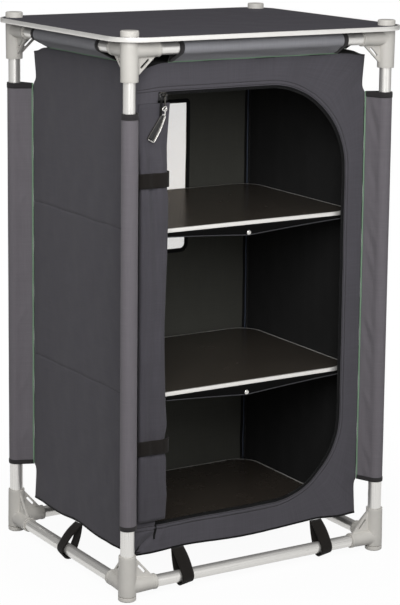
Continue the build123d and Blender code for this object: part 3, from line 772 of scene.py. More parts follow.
def cloth_material(name, colour, thread=0.7 * MM, spread=0.16, sheen=0.1, relief=0.12 * MM, specular=0.3):
    """Woven cloth: streaky yarn colour, uneven dye, thread relief and a little sheen."""
    material, tree, shader = blank_material(name)
    where = add_node(tree, "ShaderNodeTexCoord").outputs["UV"]
    weave = shared(tree, "Woven Cloth", {"Vector": where, "Thread": thread})
    mottle = shared(tree, "Mottle", {"Vector": where, "Size": 0.12})["Mask"]
    yarn, dye = calculate(tree, "MULTIPLY", weave["Shade"], 0.65), calculate(tree, "MULTIPLY", mottle, 0.35)
    tint(tree, shader, calculate(tree, "ADD", yarn, dye), colour, 1 - spread, 1 + spread)
    tree.links.new(remap(tree, mottle, 0.0, 1.0, 0.83, 0.93), shader.inputs["Roughness"])
    shader.inputs["Sheen Weight"].default_value = sheen
    shader.inputs["Specular IOR Level"].default_value = specular
    raise_by(tree, shader, 0.6, relief, weave["Height"])
    return material


def solid_material(
    name, colour, roughness, metallic=0.0, spread=0.06, size=0.02, relief=0.0, specular=0.5, stretch=None
):
    """Plastic, laminate or metal: mottle or drawn lines in its colour and roughness, and a fine grain."""
    material, tree, shader = blank_material(name)
    where = add_node(tree, "ShaderNodeTexCoord").outputs["Object"]
    if stretch:
        mask = shared(tree, "Drawn Lines", {"Vector": where, "Stretch": stretch})[0]
    else:
        mask = shared(tree, "Mottle", {"Vector": where, "Size": size})[0]
    tint(tree, shader, mask, colour, 1 - spread, 1 + spread)
    rough = remap(tree, mask, 0.0, 1.0, roughness * 0.85, roughness * 1.15)
    tree.links.new(rough, shader.inputs["Roughness"])
    shader.inputs["Metallic"].default_value = metallic
    shader.inputs["Specular IOR Level"].default_value = specular
    if relief:
        grain = add_node(tree, "ShaderNodeTexNoise", {"Vector": where, "Scale": 1400.0, "Detail": 2.0})
        raise_by(tree, shader, 0.5, relief, grain.outputs[0])
    return material


def net_material(name, colour, mesh_pitch=1.6 * MM, thread_share=0.2):
    """Net: two crossing sets of threads, clear between them."""
    material, tree, shader = blank_material(name)
    where = add_node(tree, "ShaderNodeTexCoord").outputs["UV"]
    split = add_node(tree, "ShaderNodeSeparateXYZ", {0: where})
    threads = []
    for axis in (0, 1):
        turns = calculate(tree, "DIVIDE", split.outputs[axis], mesh_pitch)
        threads.append(calculate(tree, "LESS_THAN", calculate(tree, "FRACT", turns), thread_share))
    tree.links.new(calculate(tree, "MAXIMUM", threads[0], threads[1]), shader.inputs["Alpha"])
    tint(tree, shader, shared(tree, "Mottle", {"Vector": where, "Size": 0.05})[0], colour, 0.94, 1.04)
    shader.inputs["Roughness"].default_value = 0.7
    return material


def pull_material(name, bright, dark):
    """Plated metal, dark on the pull's stem, with painted shade along its left bar, by the place in the
    pull's own frame.
    """
    material = solid_material(name, bright, 0.22, 1.0, 0.06, size=0.006)
    tree = material.node_tree
    shader = next(node for node in tree.nodes if node.type == "BSDF_PRINCIPLED")
    where = add_node(tree, "ShaderNodeTexCoord").outputs["Object"]
    split = add_node(tree, "ShaderNodeSeparateXYZ", {0: where}).outputs
    x, z = split["X"], split["Z"]
    stem = remap(tree, z, PULL_AXIS_Z - 20 * MM, PULL_AXIS_Z - 18 * MM, 0.0, 1.0)
    slope = (PULL_TIP[0] - PULL_TOP_RIGHT[0]) / (PULL_TIP[1] - PULL_TOP_RIGHT[1])
    start = PULL_AXIS_X - 3 * MM - slope * (PULL_AXIS_Z + PULL_TOP_RIGHT[1])
    side = calculate(tree, "SUBTRACT", x, calculate(tree, "MULTIPLY_ADD", z, slope, start))
    # Painted shade along the pull's left bar, below the dark strip
    left = remap(tree, side, -3 * MM, -1 * MM, 1.0, 0.0)
    below = remap(tree, z, PULL_AXIS_Z - 33 * MM, PULL_AXIS_Z - 30 * MM, 1.0, 0.0)
    share = calculate(tree, "MAXIMUM", stem, calculate(tree, "MULTIPLY", left, below))
    colour = shader.inputs["Base Color"].links[0].from_socket
    tree.links.new(mix_colours(tree, share, colour, (*dark, 1.0)), shader.inputs["Base Color"])
    return material


MATERIALS = {}
UPRIGHT_LINES, FRONT_LINES, SIDE_LINES = (1800.0, 1800.0, 6.0), (6.0, 1800.0, 1800.0), (1800.0, 6.0, 1800.0)


class CUPBOARD_OT_materials(bpy.types.Operator):
    """Make the materials and the shader groups that they share"""

    bl_idname = "cupboard.materials"
    bl_label = "Materials"

    def execute(self, context):
        colours = context.scene.cupboard_colours
        tube = partial(solid_material, colour=colours.aluminium, roughness=0.3, metallic=0.65, spread=0.03)
        woven_group()
        mottle_group()
        drawn_group()
        MATERIALS.update(
            dark_cloth=cloth_material("Dark cloth", colours.dark_cloth),
            # Painted shade: the rolled door's cloth, darker than the body's
            door_cloth=cloth_material("Shaded door cloth", colours.door_cloth),
            light_cloth=cloth_material("Light cloth", colours.light_cloth, spread=0.12),
            lining=cloth_material("Lining", colours.lining, spread=0.2, sheen=0.05, specular=0.1),
            # Painted light: a lighter copy of the lining for the back wall
            back_lining=cloth_material(
                "Lit back lining", colours.back_lining, spread=0.1, sheen=0.05, specular=0.08
            ),
            # Painted light: a lighter copy of the light cloth for the valances
            top_cloth=cloth_material("Top cloth", colours.top_cloth, spread=0.12),
            binding=cloth_material("Binding", colours.binding, thread=1.0 * MM, relief=0.2 * MM),
            piping=cloth_material("Piping", colours.piping, thread=0.5 * MM, spread=0.25, relief=0.1 * MM),
            webbing=cloth_material(
                "Webbing", colours.webbing, thread=1.6 * MM, spread=0.3, relief=0.4 * MM, specular=0.12
            ),
            thread=cloth_material("Thread", colours.binding, thread=0.3 * MM, spread=0.2, relief=0.1 * MM),
            zip=cloth_material(
                "Zip tape", colours.zip, thread=0.9 * MM, spread=0.3, relief=0.2 * MM, specular=0.15
            ),
            teeth=solid_material("Zip teeth", colours.zip, 0.35, spread=0.2, size=0.004),
            plastic=solid_material(
                "Moulded plastic", colours.plastic, 0.45, size=0.03, relief=0.05 * MM, spread=0.03
            ),
            seam_edge=cloth_material("Seam edge", colours.seam_edge, thread=0.5 * MM),
            hem_edge=cloth_material("Hem edge", colours.hem_edge, thread=0.5 * MM),
            sling=cloth_material("Sling", colours.sling, spread=0.2, sheen=0.0, specular=0.06),
            tail=cloth_material("Zip tail", colours.lining, thread=0.9 * MM, sheen=0.0, specular=0.06),
            upright=tube("Upright tube", stretch=UPRIGHT_LINES),
            front_rail=tube("Front rail tube", stretch=FRONT_LINES),
            side_rail=tube("Side rail tube", stretch=SIDE_LINES),
            rim=solid_material("Edge strip", colours.rim, 0.34, 0.4, 0.04, stretch=(60.0, 60.0, 2200.0)),
            table=solid_material(
                "Table laminate", colours.table, 0.75, spread=0.02, size=0.05, relief=0.04 * MM, specular=0.15
            ),
            shelf=solid_material("Shelf laminate", colours.shelf, 0.24, size=0.05),
            floor_board=solid_material("Floor board laminate", colours.floor_board, 0.26, size=0.05),
            metal=solid_material("Plated metal", colours.metal, 0.22, 1.0, 0.06, size=0.006),
            slider=solid_material("Slider metal", colours.slider, 0.28, 1.0, 0.2, size=0.004),
            pull=pull_material("Pull metal", colours.metal, colours.slider),
            net=net_material("Net", colours.net),
        )
        return {"FINISHED"}


# Pieces


def bottom_tape(side, points, sizes, half, outward):
    """Dark tape over a panel's bottom edge: the panel's own surface, 0.5 mm further out."""
    flat, z = lattice(levels(-half, half, 5 * MM), BOTTOM + np.array([-0.3, 1.2, 3.2]) * MM)
    tape = mesh_object(f"{side}_bottom_tape", [points(flat, z, sizes, 0.5 * MM)], outward)
    return place(thicken(tape, 0.5 * MM, "zip"), "dark_cloth")


class CUPBOARD_OT_sides(bpy.types.Operator):
    """Make the left and right panels, with the seams of the slings"""

    bl_idname = "cupboard.sides"
    bl_label = "Side panels"

    def execute(self, context):
        sizes = context.scene.cupboard_sizes
        z = levels(BOTTOM, TOP, sizes.grid, [(sling_top + SEAM_RISE, 8 * MM) for sling_top in SLING_TOPS])
        y = levels(-HALF_DEPTH, HALF_DEPTH, sizes.grid)
        seam_y = np.linspace(-HALF_DEPTH + 8 * MM, HALF_DEPTH - 8 * MM, 90)
        for side, name in ((-1, "left"), (1, "right")):
            outward = (side, 0, 0)
            points = partial(side_points, side)
            panel = mesh_object(f"{name}_side", [points(*lattice(y, z), sizes)], outward)
            thicken(panel, sizes.cloth, "dark_cloth", "lining")
            rows = []
            for sling_top in SLING_TOPS:
                path = points(seam_y, sling_seam(seam_y, sling_top), sizes, 0.1 * MM)
                rows += stitches(path, outward, sizes.stitch)
            seam = dress(mesh_object(f"{name}_side_stitches", rows, outward), "thread", "dark_cloth")
            tape = bottom_tape(name, points, sizes, HALF_DEPTH, outward)
            sheet(
                panel, "dark_cloth", [f"{name}_panel"],
            )
        return {"FINISHED"}


def welt_lift(distance, folded=1.0):
    """Relief of the folded and twice stitched edge round the opening, by the distance from the edge.

    Where folded falls to zero, only the two lines of stitching go on.
    """
    flap = 0.9 * MM * (1 - smooth_step(distance, 6.0 * MM, 7.2 * MM))
    roll = 0.5 * MM * bell(distance, 0.4 * MM, 0.8 * MM)
    grooves = 0.8 * MM * sum(bell(distance, row, 0.8 * MM) for row in OPENING_STITCHES)
    return (flap - roll) * folded - grooves


def near_hinge(x):
    """Zero left of the opening, rising to one over the 12 mm by its left edge, where the door is sewn on."""
    return smooth_step(x, OPENING_LEFT - 12 * MM, OPENING_LEFT)


class CUPBOARD_OT_front(bpy.types.Operator):
    """Make the front panel with its door opening and the stitched edge round it"""

    bl_idname = "cupboard.front"
    bl_label = "Front panel"

    def execute(self, context):
        sizes = context.scene.cupboard_sizes
        outward = (0, -1, 0)
        edge, outer = opening_border(0.6 * sizes.grid)
        reach = np.linalg.norm(outer - edge, axis=1, keepdims=True)
        near = np.array(EDGE_LEVELS) * MM
        far = near[-1] + (reach - near[-1]) * np.linspace(0, 1, 17)[1:]
        distance = np.concatenate([np.tile(near, (len(edge), 1)), far], 1)
        flat = edge[:, None] + ((outer - edge) / reach)[:, None] * distance[..., None]
        ring = front_points(flat[..., 0], flat[..., 1], sizes, welt_lift(distance))
        z = levels(OPENING_BOTTOM, OPENING_TOP, sizes.grid)[1:-1]
        z = np.concatenate([flat[-1, ::-1, 1], z, flat[0, :, 1]])
        x, z = lattice(levels(-HALF_WIDTH, OPENING_LEFT, 0.5 * sizes.grid), z)
        from_edge = np.maximum(z - OPENING_TOP, OPENING_BOTTOM - z)
        lift = np.where(from_edge >= 0, welt_lift(np.maximum(from_edge, 0), near_hinge(x)), 0)
        panel = mesh_object("front_border", [ring, front_points(x, z, sizes, lift)], outward, merge=True)
        thicken(panel, sizes.cloth, "dark_cloth", "lining")
        rows = []
        left = np.linspace(-HALF_WIDTH + 4 * MM, OPENING_LEFT, 10, endpoint=False)
        for row in OPENING_STITCHES:
            line = opening_edge(-row, 4 * MM)
            before, after = (np.stack([left, np.full_like(left, line[end, 1])], -1) for end in (0, -1))
            x, z = np.vstack([before, line, after[::-1]]).T
            lift = welt_lift(np.full_like(x, row), near_hinge(x)) + 0.15 * MM
            path = front_points(x, z, sizes, lift)
            rows += stitches(path, outward, sizes.stitch, gap=0.15, radius=0.6 * MM)
        seam = dress(mesh_object("opening_stitches", rows, outward), "thread", "dark_cloth")
        tape = bottom_tape("front", front_points, sizes, HALF_WIDTH, outward)
        x, z = lattice(
            OPENING_LEFT + np.linspace(-1.2, 2.2, 5) * MM, OPENING_BOTTOM - np.linspace(-1, 25, 18) * MM
        )
        bent = x + 0.8 * MM * np.sin((OPENING_BOTTOM - z) * 190)
        tail = mesh_object("zip_tail", [front_points(bent, z, sizes, 1.0 * MM)], outward)
        place(thicken(tail, 0.5 * MM, "tail"), "zip_tape")
        sheet(
            panel, "dark_cloth", ["front_panel"],
        )
        return {"FINISHED"}


class CUPBOARD_OT_zip(bpy.types.Operator):
    """Make the zip tape and the row of teeth round the opening"""

    bl_idname = "cupboard.zip"
    bl_label = "Zip"

    def execute(self, context):
        sizes = context.scene.cupboard_sizes
        insets = np.linspace(-TAPE_WIDTH, TAPE_WIDTH, 5)
        flat = np.stack([opening_edge(inset, 4 * MM) for inset in insets], 1)
        grid = front_points(flat[..., 0], flat[..., 1], sizes, -1.6 * MM)
        tape = thicken(mesh_object("zip_band", [grid], (0, -1, 0)), 0.6 * MM, "zip")
        path = front_points(*opening_edge(TAPE_WIDTH, 2 * MM).T, sizes, -1.2 * MM)
        run = run_along(path)
        steps = int(run[-1] / COIL_PITCH) * COIL_STEPS
        centre = points_at(path, run, np.linspace(0, run[-1], steps))
        across, up = frame_along(centre, False)
        turn = np.arange(steps)[:, None] * (2 * math.pi / COIL_STEPS)
        coil = centre + 0.9 * MM * (across * np.cos(turn) + up * np.sin(turn))
        teeth = dress(tube_object("zip_coil", coil, 0.35 * MM, sides=4), "teeth", "zip_tape")
        sheet(
            tape, "zip_tape", ["zip_tape"],
        )
        return {"FINISHED"}


class CUPBOARD_OT_back(bpy.types.Operator):
    """Make the back panel, the border of its window and the net in it"""

    bl_idname = "cupboard.back"
    bl_label = "Back panel and window"

    def execute(self, context):
        sizes = context.scene.cupboard_sizes
        outward = (0, 1, 0)
        spare = 3 * MM
        hole_x = WINDOW_LOW.x - spare, WINDOW_HIGH.x + spare
        hole_z = WINDOW_LOW.z - spare, WINDOW_HIGH.z + spare
        x = np.union1d(levels(-HALF_WIDTH, HALF_WIDTH, sizes.grid), hole_x)
        z = np.union1d(levels(BOTTOM, TOP, sizes.grid), hole_z)

        def solid_part(centre):
            inside = (centre[:, 0] > hole_x[0]) & (centre[:, 0] < hole_x[1])
            return ~(inside & (centre[:, 2] > hole_z[0]) & (centre[:, 2] < hole_z[1]))

        panel = mesh_object("back_side", [back_points(*lattice(x, z), sizes)], outward, keep=solid_part)
        # The back panel's inside takes the lighter back lining, painted light
        thicken(panel, sizes.cloth, "dark_cloth", "back_lining")
        extras = [bottom_tape("back", back_points, sizes, HALF_WIDTH, outward)]
        flat = np.stack([window_outline(reach * MM) for reach in (-1.0, 3.0, 7.0, 11.0, 14.0)], 1)
        for name, part, lift, facing, thickness, finish in (
            ("window_border", flat, 0.9 * MM, outward, 0.8 * MM, "binding"),
            ("window_facing", flat[:, :3], -1.1 * MM, (0, -1, 0), 0.5 * MM, "lining"),
        ):
            made = mesh_object(name, [back_points(part[..., 0], part[..., 1], sizes, lift)], facing)
            extras.append(place(thicken(made, thickness, finish), "dark_cloth"))
        x, z = lattice(np.linspace(net_low.x, net_high.x, 40), np.linspace(net_low.z, net_high.z, 60))
        net = mesh_object("window_mesh", [back_points(x, z, sizes, -0.4 * MM)], outward)
        net.data.materials.append(MATERIALS["net"])
        sheet(net, "net", ["window_net"])
        sheet(
            panel, "dark_cloth", ["back_panel"],
        )
        return {"FINISHED"}


def sling_points(low, high):
    """Grid of a sling: flat under its shelf, round the front edge on a quarter circle, and down to the hem.

    The hem hangs down more towards the middle, by the share of the way from the side to the power 1.35.
    """
    across = levels(low.x + 0.5 * MM, high.x - 0.5 * MM, 6 * MM)
    drop = 4 * MM + (high.z - low.z - 6 * MM) * (1 - np.abs(across / high.x)) ** 1.35
    bend_y, bend_z = low.y + HEM_BEND, high.z - 0.1 * MM - HEM_BEND
    bend = np.linspace(0, math.pi / 2, 6)[1:]
    fall = np.linspace(0, 1, 7)[1:]
    y = np.concatenate([np.linspace(high.y, bend_y, 50), bend_y - HEM_BEND * np.sin(bend), np.full(6, low.y)])
    top_z = np.concatenate([np.full(50, bend_z + HEM_BEND), bend_z + HEM_BEND * np.cos(bend)])
    hem_z = bend_z - fall * (drop[:, None] - HEM_BEND)
    x, y = lattice(across, y)
    return np.stack([x, y, np.concatenate([np.tile(top_z, (len(across), 1)), hem_z], 1)], -1)


class CUPBOARD_OT_inside(bpy.types.Operator):
    """Make the ceiling, the floor cloth, the bound corner seams and the slings with their hems"""

    bl_idname = "cupboard.inside"
    bl_label = "Inside cloth"

    def execute(self, context):
        sizes = context.scene.cupboard_sizes
        x, y = lattice(*(levels(-half + MM, half - MM, 8 * MM) for half in (HALF_WIDTH, HALF_DEPTH)))
        x_share = corner_share(x, FRONT_SEAM_HALF, HALF_WIDTH)
        y_share = corner_share(y, SIDE_SEAM_HALF, HALF_DEPTH)
        x_edge = smooth_step(np.abs(x), HALF_WIDTH - 40 * MM, HALF_WIDTH)
        y_edge = smooth_step(np.abs(y), HALF_DEPTH - 40 * MM, HALF_DEPTH)
        share = np.maximum(x_share * y_share, np.maximum(x_share * y_edge, y_share * x_edge))
        sag = 5 * MM * (1 - (x / HALF_WIDTH) ** 2) * (1 - (y / HALF_DEPTH) ** 2)
        ceiling_z = TOP - 0.6 * MM - corner_droop(x, y, sizes) * share - sag
        for name, height, held, rests_on, node in (
            ("ceiling", ceiling_z, "hung", "front_top_sleeve", "ceiling_cloth"),
            ("floor_sheet", np.full_like(x, FLOOR_Z - 0.1 * MM), "stretched", "left_side", "floor_cloth"),
        ):
            made = mesh_object(name, [np.stack([x, y, height], -1)], (0, 0, 1))
            thicken(made, sizes.cloth, "lining")
            sheet(made, "lining_cloth", [node])
        z = levels(BOTTOM + 4 * MM, TOP - 18 * MM, 10 * MM)[None]
        across = np.linspace(0, 1, 5)[:, None] * SEAM_BINDING_WIDTH
        start = 2.0 * MM + corner_slack(z, sizes.corner_slack)
        for corner, (x_side, y_side) in CORNERS.items():
            lean = 0.7 * MM * np.sin(z * 31 + x_side) + 0.5 * MM * np.sin(z * 83 + y_side)
            seam = np.stack([
                x_side * (HALF_WIDTH - start - across) + lean * y_side,
                y_side * (HALF_DEPTH - start - across * 0.2) + lean * x_side,
                z + 0 * across,
            ], -1)
            strip = mesh_object(f"seam_binding_{corner}", [seam], (-y_side, x_side, 0))
            place(thicken(strip, 1.0 * MM, "zip", offset=0), "lining_cloth")
            rib = tube_object(f"seam_edge_{corner}", seam[2] - (0, y_side * 1.2 * MM, 0), 1.2 * MM, sides=6)
            dress(rib, "seam_edge", "lining_cloth")
        for name in ("upper_sling", "lower_sling"):
            low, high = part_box(name)
            grid = sling_points(low, high)
            made = thicken(mesh_object(f"{name}_cloth", [grid], (0, -0.2, 1)), 0.9 * MM, "sling")
            edge = tube_object(f"{name}_hem", grid[:, -1] - (0, 0.3 * MM, 0), 0.9 * MM, sides=6)
            dress(edge, "hem_edge", "lining_cloth")
            sheet(made, "lining_cloth", [name])
        return {"FINISHED"}


def teardrop(radius, reach, gap, straight, around):
    """Path of cloth round a tube, seen along it: from the seam at (reach, gap) straight to where it touches
    a circle of that radius, round the far side, and straight back to (reach, -gap)."""
    touch = math.acos(radius / reach)
    turn = np.linspace(touch, 2 * math.pi - touch, around)
    circle = radius * np.stack([np.cos(turn), np.sin(turn)], -1)
    share = np.linspace(0, 1, straight, endpoint=False)[:, None]
    there = (1 - share) * np.array([reach, gap]) + share * circle[0]
    back = (1 - share) * np.array([reach, -gap]) + share * circle[-1]
    return np.vstack([there, circle, back[::-1]])


def path_normals(path):
    """Directions square to a flat path, to its right."""
    ahead = np.gradient(path, axis=0)
    ahead /= np.linalg.norm(ahead, axis=1)[:, None]
    return np.stack([ahead[:, 1], -ahead[:, 0]], -1)


def face_out(made, origin, axis=2):
    """Turns the faces of cloth round a tube away from the tube's line through origin along an axis."""
    mesh = made.data
    centre, normal = np.empty((2, len(mesh.polygons) * 3))
    mesh.polygons.foreach_get("center", centre)
    mesh.polygons.foreach_get("normal", normal)
    away = centre.reshape(-1, 3) - origin
    away[:, axis] = 0
    if (away * normal.reshape(-1, 3)).sum() < 0:
        mesh.flip_normals()
    return made


class Wrap:
    """Cloth round a tube: a teardrop section from its seam on the body round the tube and back.

    The section lies in the directions toward the seam and sideways, and the cloth runs along the tube. clear
    is the section's least distance from the tube's line, short how far it ends before the seam, gap half the
    way between its two ends, and straight and around are the numbers of its points. share is zero at the
    section's middle and one at its ends.
    """

    def __init__(self, origin, seam, along, clear, short, gap, straight, around):
        self.origin, self.along, self.clear = np.array(origin), np.array(along, float), clear
        self.reach = np.linalg.norm(seam - self.origin)
        self.toward = (seam - self.origin) / self.reach
        self.sideways = np.cross(self.along, self.toward)
        self.seam_reach = self.reach - short
        self.path = teardrop(clear, self.seam_reach, gap, straight, around)
        self.run = run_along(self.path)
        self.width = float(self.run[-1])
        self.share = np.abs(self.run - self.width / 2)[:, None] / (self.width / 2)

    def cloth(self, name, relief, places, thickness, *finishes, lift=0.0):
        """Cloth of origin + section + relief square to the section + places along the tube.

        Points nearer to the tube's line than clear + lift are carried straight out to it.
        """
        shaped = self.path[:, None] + path_normals(self.path)[:, None] * relief[..., None]
        shaped = shaped * np.maximum(1, (self.clear + lift) / np.linalg.norm(shaped, axis=-1, keepdims=True))
        grid = self.origin + shaped[..., :1] * self.toward + shaped[..., 1:] * self.sideways
        made = mesh_object(name, [grid + places[..., None] * self.along])
        face_out(made, self.origin, int(np.argmax(np.abs(self.along))))
        return thicken(made, thickness, *finishes)

    def free(self, near, far):
        """Share of the cloth that is free of the tube and of the seam: one between them, zero at both."""
        return smooth_step(self.share, *near) * (1 - smooth_step(self.share, *far))

    def binding(self, name, places, lift, filled=0.0):
        """Bound end, lifted off the sleeve and 0.4 mm more along its middle."""
        bulge = 0.4 * MM * np.sin(np.linspace(0, math.pi, places.shape[1])) + filled + lift + 0 * places
        return place(self.cloth(name, bulge, places, 1.3 * MM, "binding", lift=lift), "webbing")

    def piping(self, name, low, high, wobble, phase, radius):
        """Cord along the seam, with a slight wobble."""
        line = levels(low, high, 12 * MM)[:, None]
        reach = self.seam_reach + wobble * np.sin(phase(line))
        path = self.origin + self.toward * reach + self.along * line
        return dress(tube_object(name, path, radius), "piping", "light_cloth")


class CUPBOARD_OT_corner_sleeves(bpy.types.Operator):
    """Make the four sleeves round the uprights, with their bindings and green piping"""

    bl_idname = "cupboard.corner_sleeves"
    bl_label = "Corner sleeves"

    def execute(self, context):
        sizes = context.scene.cupboard_sizes
        clear = UPRIGHT_RADIUS + 0.3 * MM + sizes.sleeve_cloth
        for number, (corner, (x_side, y_side)) in enumerate(CORNERS.items()):
            origin = (x_side * UPRIGHT_X, y_side * UPRIGHT_Y, 0.0)
            seam = (x_side * HALF_WIDTH, y_side * HALF_DEPTH, 0.0)
            wrap = Wrap(origin, seam, (0, 0, 1), clear, sizes.piping / 2, 0.5 * MM, 10, 26)
            low_slip, high_slip = SLEEVE_SLIPS.get(corner, (0, 0))
            bottom, top = SLEEVE_BOTTOM - low_slip, SLEEVE_TOP - high_slip
            s, z = lattice(wrap.run, levels(bottom + 0.5 * MM, top - 0.5 * MM, 6 * MM))
            free = wrap.free((0.42, 0.6), (0.72, 0.98))
            relief = free * (0.9 * MM * ripples(s * 2 + z * 0.8, z, 51 + number, 60 * MM, 2.5) - 1.2 * MM)
            for spot in SLEEVE_CREASES:
                for way in (-1, 1):
                    centre = (wrap.width * (0.5 + way * 0.36), bottom + spot)
                    relief = relief + free * 1.3 * MM * pucker(s, z, centre, 62 * way, 30 * MM, 4 * MM)
            filled = SLEEVE_FILLED.get(corner, 0) * bell(wrap.run / wrap.width * 2, 1.52, 0.24)[:, None]
            relief = relief + 0.12 * MM * ripples(s, z, 70 + number, 30 * MM, 4) + filled
            name = f"corner_cloth_{corner}"
            sleeve = wrap.cloth(name, relief, z, sizes.sleeve_cloth, "light_cloth", "lining")
            for end, low, high in (
                ("low", bottom - 0.4 * MM, bottom + 0.8 * sizes.binding),
                ("high", top - sizes.binding, top + 0.4 * MM),
            ):
                z = lattice(wrap.run, np.linspace(low, high, 6))[1]
                wrap.binding(f"{end}_binding_{corner}", z, 0.5 * MM, filled)
            wrap.piping(
                f"corner_piping_{corner}", bottom, top, 0.2 * MM, lambda z: z * 70 + number, sizes.piping / 2
            )
            sheet(
                sleeve, "light_cloth",
                [f"corner_sleeve_{corner}"],
            )
        return {"FINISHED"}


def rail_wrap(side, rail_z, body_z, along, *section):
    """Cloth from the body's edge at height body_z round the side's rail at height rail_z."""
    outward, rail, body_half = SIDES[side]
    up = np.array([0, 0, 1.0])
    return Wrap(outward * rail + up * rail_z, outward * body_half + up * body_z, along, *section)


class CUPBOARD_OT_top_sleeves(bpy.types.Operator):
    """Make the four sleeves round the top rails, with slanted bound ends and green piping"""

    bl_idname = "cupboard.top_sleeves"
    bl_label = "Top sleeves"

    def execute(self, context):
        sizes = context.scene.cupboard_sizes
        slant = 2 * MM
        clear = RAIL_RADIUS + 0.3 * MM + sizes.sleeve_cloth
        for number, side in enumerate(SIDES):
            half = FRONT_SEAM_HALF if side in ("front", "back") else SIDE_SEAM_HALF
            along = np.cross(SIDES[side][0], (0, 0, 1))
            wrap = rail_wrap(side, TOP_RAIL_Z, TOP, along, clear, sizes.piping / 2, 0.5 * MM, 10, 26)
            end = half - slant * (1 - wrap.path[:, :1] / wrap.reach)
            places = end * levels(-1, 1, 6 * MM / half)
            s = np.broadcast_to(wrap.run[:, None], places.shape)
            free = wrap.free((0.4, 0.6), (0.75, 0.98))
            relief = free * (1.0 * MM * ripples(places, s, 91 + number, 70 * MM, 1.0) - 0.8 * MM)
            for spot in VALANCE_CREASES:
                for way in (-1, 1):
                    centre = (spot * half, wrap.width * (0.5 + way * 0.38))
                    crease = pucker(places, s, centre, 60 * way * np.sign(spot), 22 * MM, 4 * MM)
                    relief = relief + free * 1.2 * MM * crease
            # The valances take the lighter top cloth, painted light on their downward-facing sides
            sleeve = wrap.cloth(f"{side}_valance", relief, places, sizes.sleeve_cloth, "top_cloth", "lining")
            for way, name in ((-1, "low"), (1, "high")):
                places = way * (end + 0.4 * MM - sizes.binding * 0.9 * np.linspace(0, 1, 5))
                wrap.binding(f"{side}_valance_binding_{name}", places, 0.45 * MM)
            wrap.piping(
                f"{side}_top_piping", -half, half, 0.3 * MM, lambda line: line * 60 + number, sizes.piping / 2
            )
            sheet(
                sleeve, "light_cloth",
                [f"{side}_top_sleeve"],
            )
        return {"FINISHED"}


class CUPBOARD_OT_loops(bpy.types.Operator):
    """Make the six webbing loops from the body's bottom edge round the bottom rails"""

    bl_idname = "cupboard.loops"
    bl_label = "Webbing loops"

    def execute(self, context):
        sizes = context.scene.cupboard_sizes
        clear = RAIL_RADIUS + 0.4 * MM + sizes.webbing
        for name, middle in (
            ("front_left", -FRONT_LOOP_X), ("front_right", FRONT_LOOP_X), ("back_left", -FRONT_LOOP_X),
            ("back_right", FRONT_LOOP_X), ("left", SIDE_LOOP_Y), ("right", SIDE_LOOP_Y),
        ):
            side = name.split("_")[0]
            along = np.abs(SIDES[side][0][[1, 0, 2]])
            wrap = rail_wrap(side, BOTTOM_RAIL_Z, BOTTOM, along, clear, 0.5 * MM, 0.9 * MM, 9, 22)
            t = lattice(wrap.run, np.linspace(-LOOP_HALF, LOOP_HALF, 9))[1]
            free = np.sin(np.clip((wrap.share - 0.3) / 0.7, 0, 1) * math.pi)
            skew = t / LOOP_HALF
            relief = free * (3.0 + 0.5 * np.sin(skew * 2)) + (2.6 - 1.7 * skew) * bell(wrap.share, 0, 0.3)
            made = wrap.cloth(f"loop_{name}", relief * MM, middle + t, sizes.webbing, "webbing")
            sheet(made, "webbing", ["webbing_loops"])
        return {"FINISHED"}


# Height, width and depth of the rolled door from its loose lower end to its flat top
ROLL_STATIONS = np.array([
    (129, 53, 9), (170, 55, 15), (242, 55, 21), (254, 52, 19), (280, 52, 19), (300, 55, 23), (503.5, 56, 24),
    (707, 55, 23), (727, 52, 19), (753, 52, 19), (766, 55, 13), (796, 56, 3.4), (876, 56, 2.6),
]) * MM


def roll_point(angle, share, z, grow=0.0, folded=1.0):
    """Point of the rolled door's section: a squarish ring of half width and depth share times the whole, flat
    against the front panel, with soft valleys down its front times folded."""
    width, depth = (np.interp(z, ROLL_STATIONS[:, 0], ROLL_STATIONS[:, column]) for column in (1, 2))
    cos, sin = np.cos(angle), np.sin(angle)
    across = np.sign(cos) * np.abs(cos) ** 0.8 * (width / 2 * share + grow)
    out = np.sign(sin) * np.abs(sin) ** 0.75 * (depth / 2 * share + grow)
    spot = across / (width / 2)
    tied = sum(bell(z, middle, 60 * MM) for middle in ROLL_TIED)
    full = smooth_step(depth, 6 * MM, 18 * MM)
    valleys = (
        (5.8 + 4.0 * tied) * bell(spot, 0.14 * np.sin(z * 14) - 0.08, 0.24)
        + 3.2 * bell(spot, -0.6 - 0.1 * np.sin(z * 19 + 1), 0.16)
        + 1.8 * bell(spot, 0.62 - 0.06 * np.sin(z * 23), 0.1)
    )
    gathered = smooth_step(z, 752 * MM, 768 * MM) * (1 - smooth_step(z, 765 * MM, 845 * MM))
    folds = 6 * gathered * (bell(spot, 0.5, 0.3) + 0.8 * bell(spot, -0.62, 0.26))
    hem = bell(z, roll_high.z - 12 * MM, 0.9 * MM) * smooth_step(share, 0.9, 1)
    relief = share * (full * (valleys + ripples(across, z, 7, 45 * MM, 2.5)) - folds) + hem
    out = out + smooth_step(-sin, 0.0, 0.8) * folded * relief * MM
    bulge = 2.0 * (bell(z, 306 * MM, 26 * MM) + bell(z, 232 * MM, 22 * MM))
    bulge = bulge + 5.0 * (1 - smooth_step(z, 170 * MM, 236 * MM))
    slip = 0.7 * np.sin(z * 21) - 6 * bell(z, 455 * MM, 135 * MM)
    slip = slip + 10 * np.clip((z - 745 * MM) / (126 * MM), 0, 1)
    aside = smooth_step(cos, 0, 1) * (bulge + slip) - 3.5 * smooth_step(-cos, 0, 1) * full
    x = roll_low.x + ROLL_STATIONS[:, 1].max() / 2 + across + share * aside * MM
    y = roll_high.y - 0.5 * MM - depth / 2 + np.minimum(out, depth / 2)
    return np.stack([x, y, z + 0 * angle], -1)


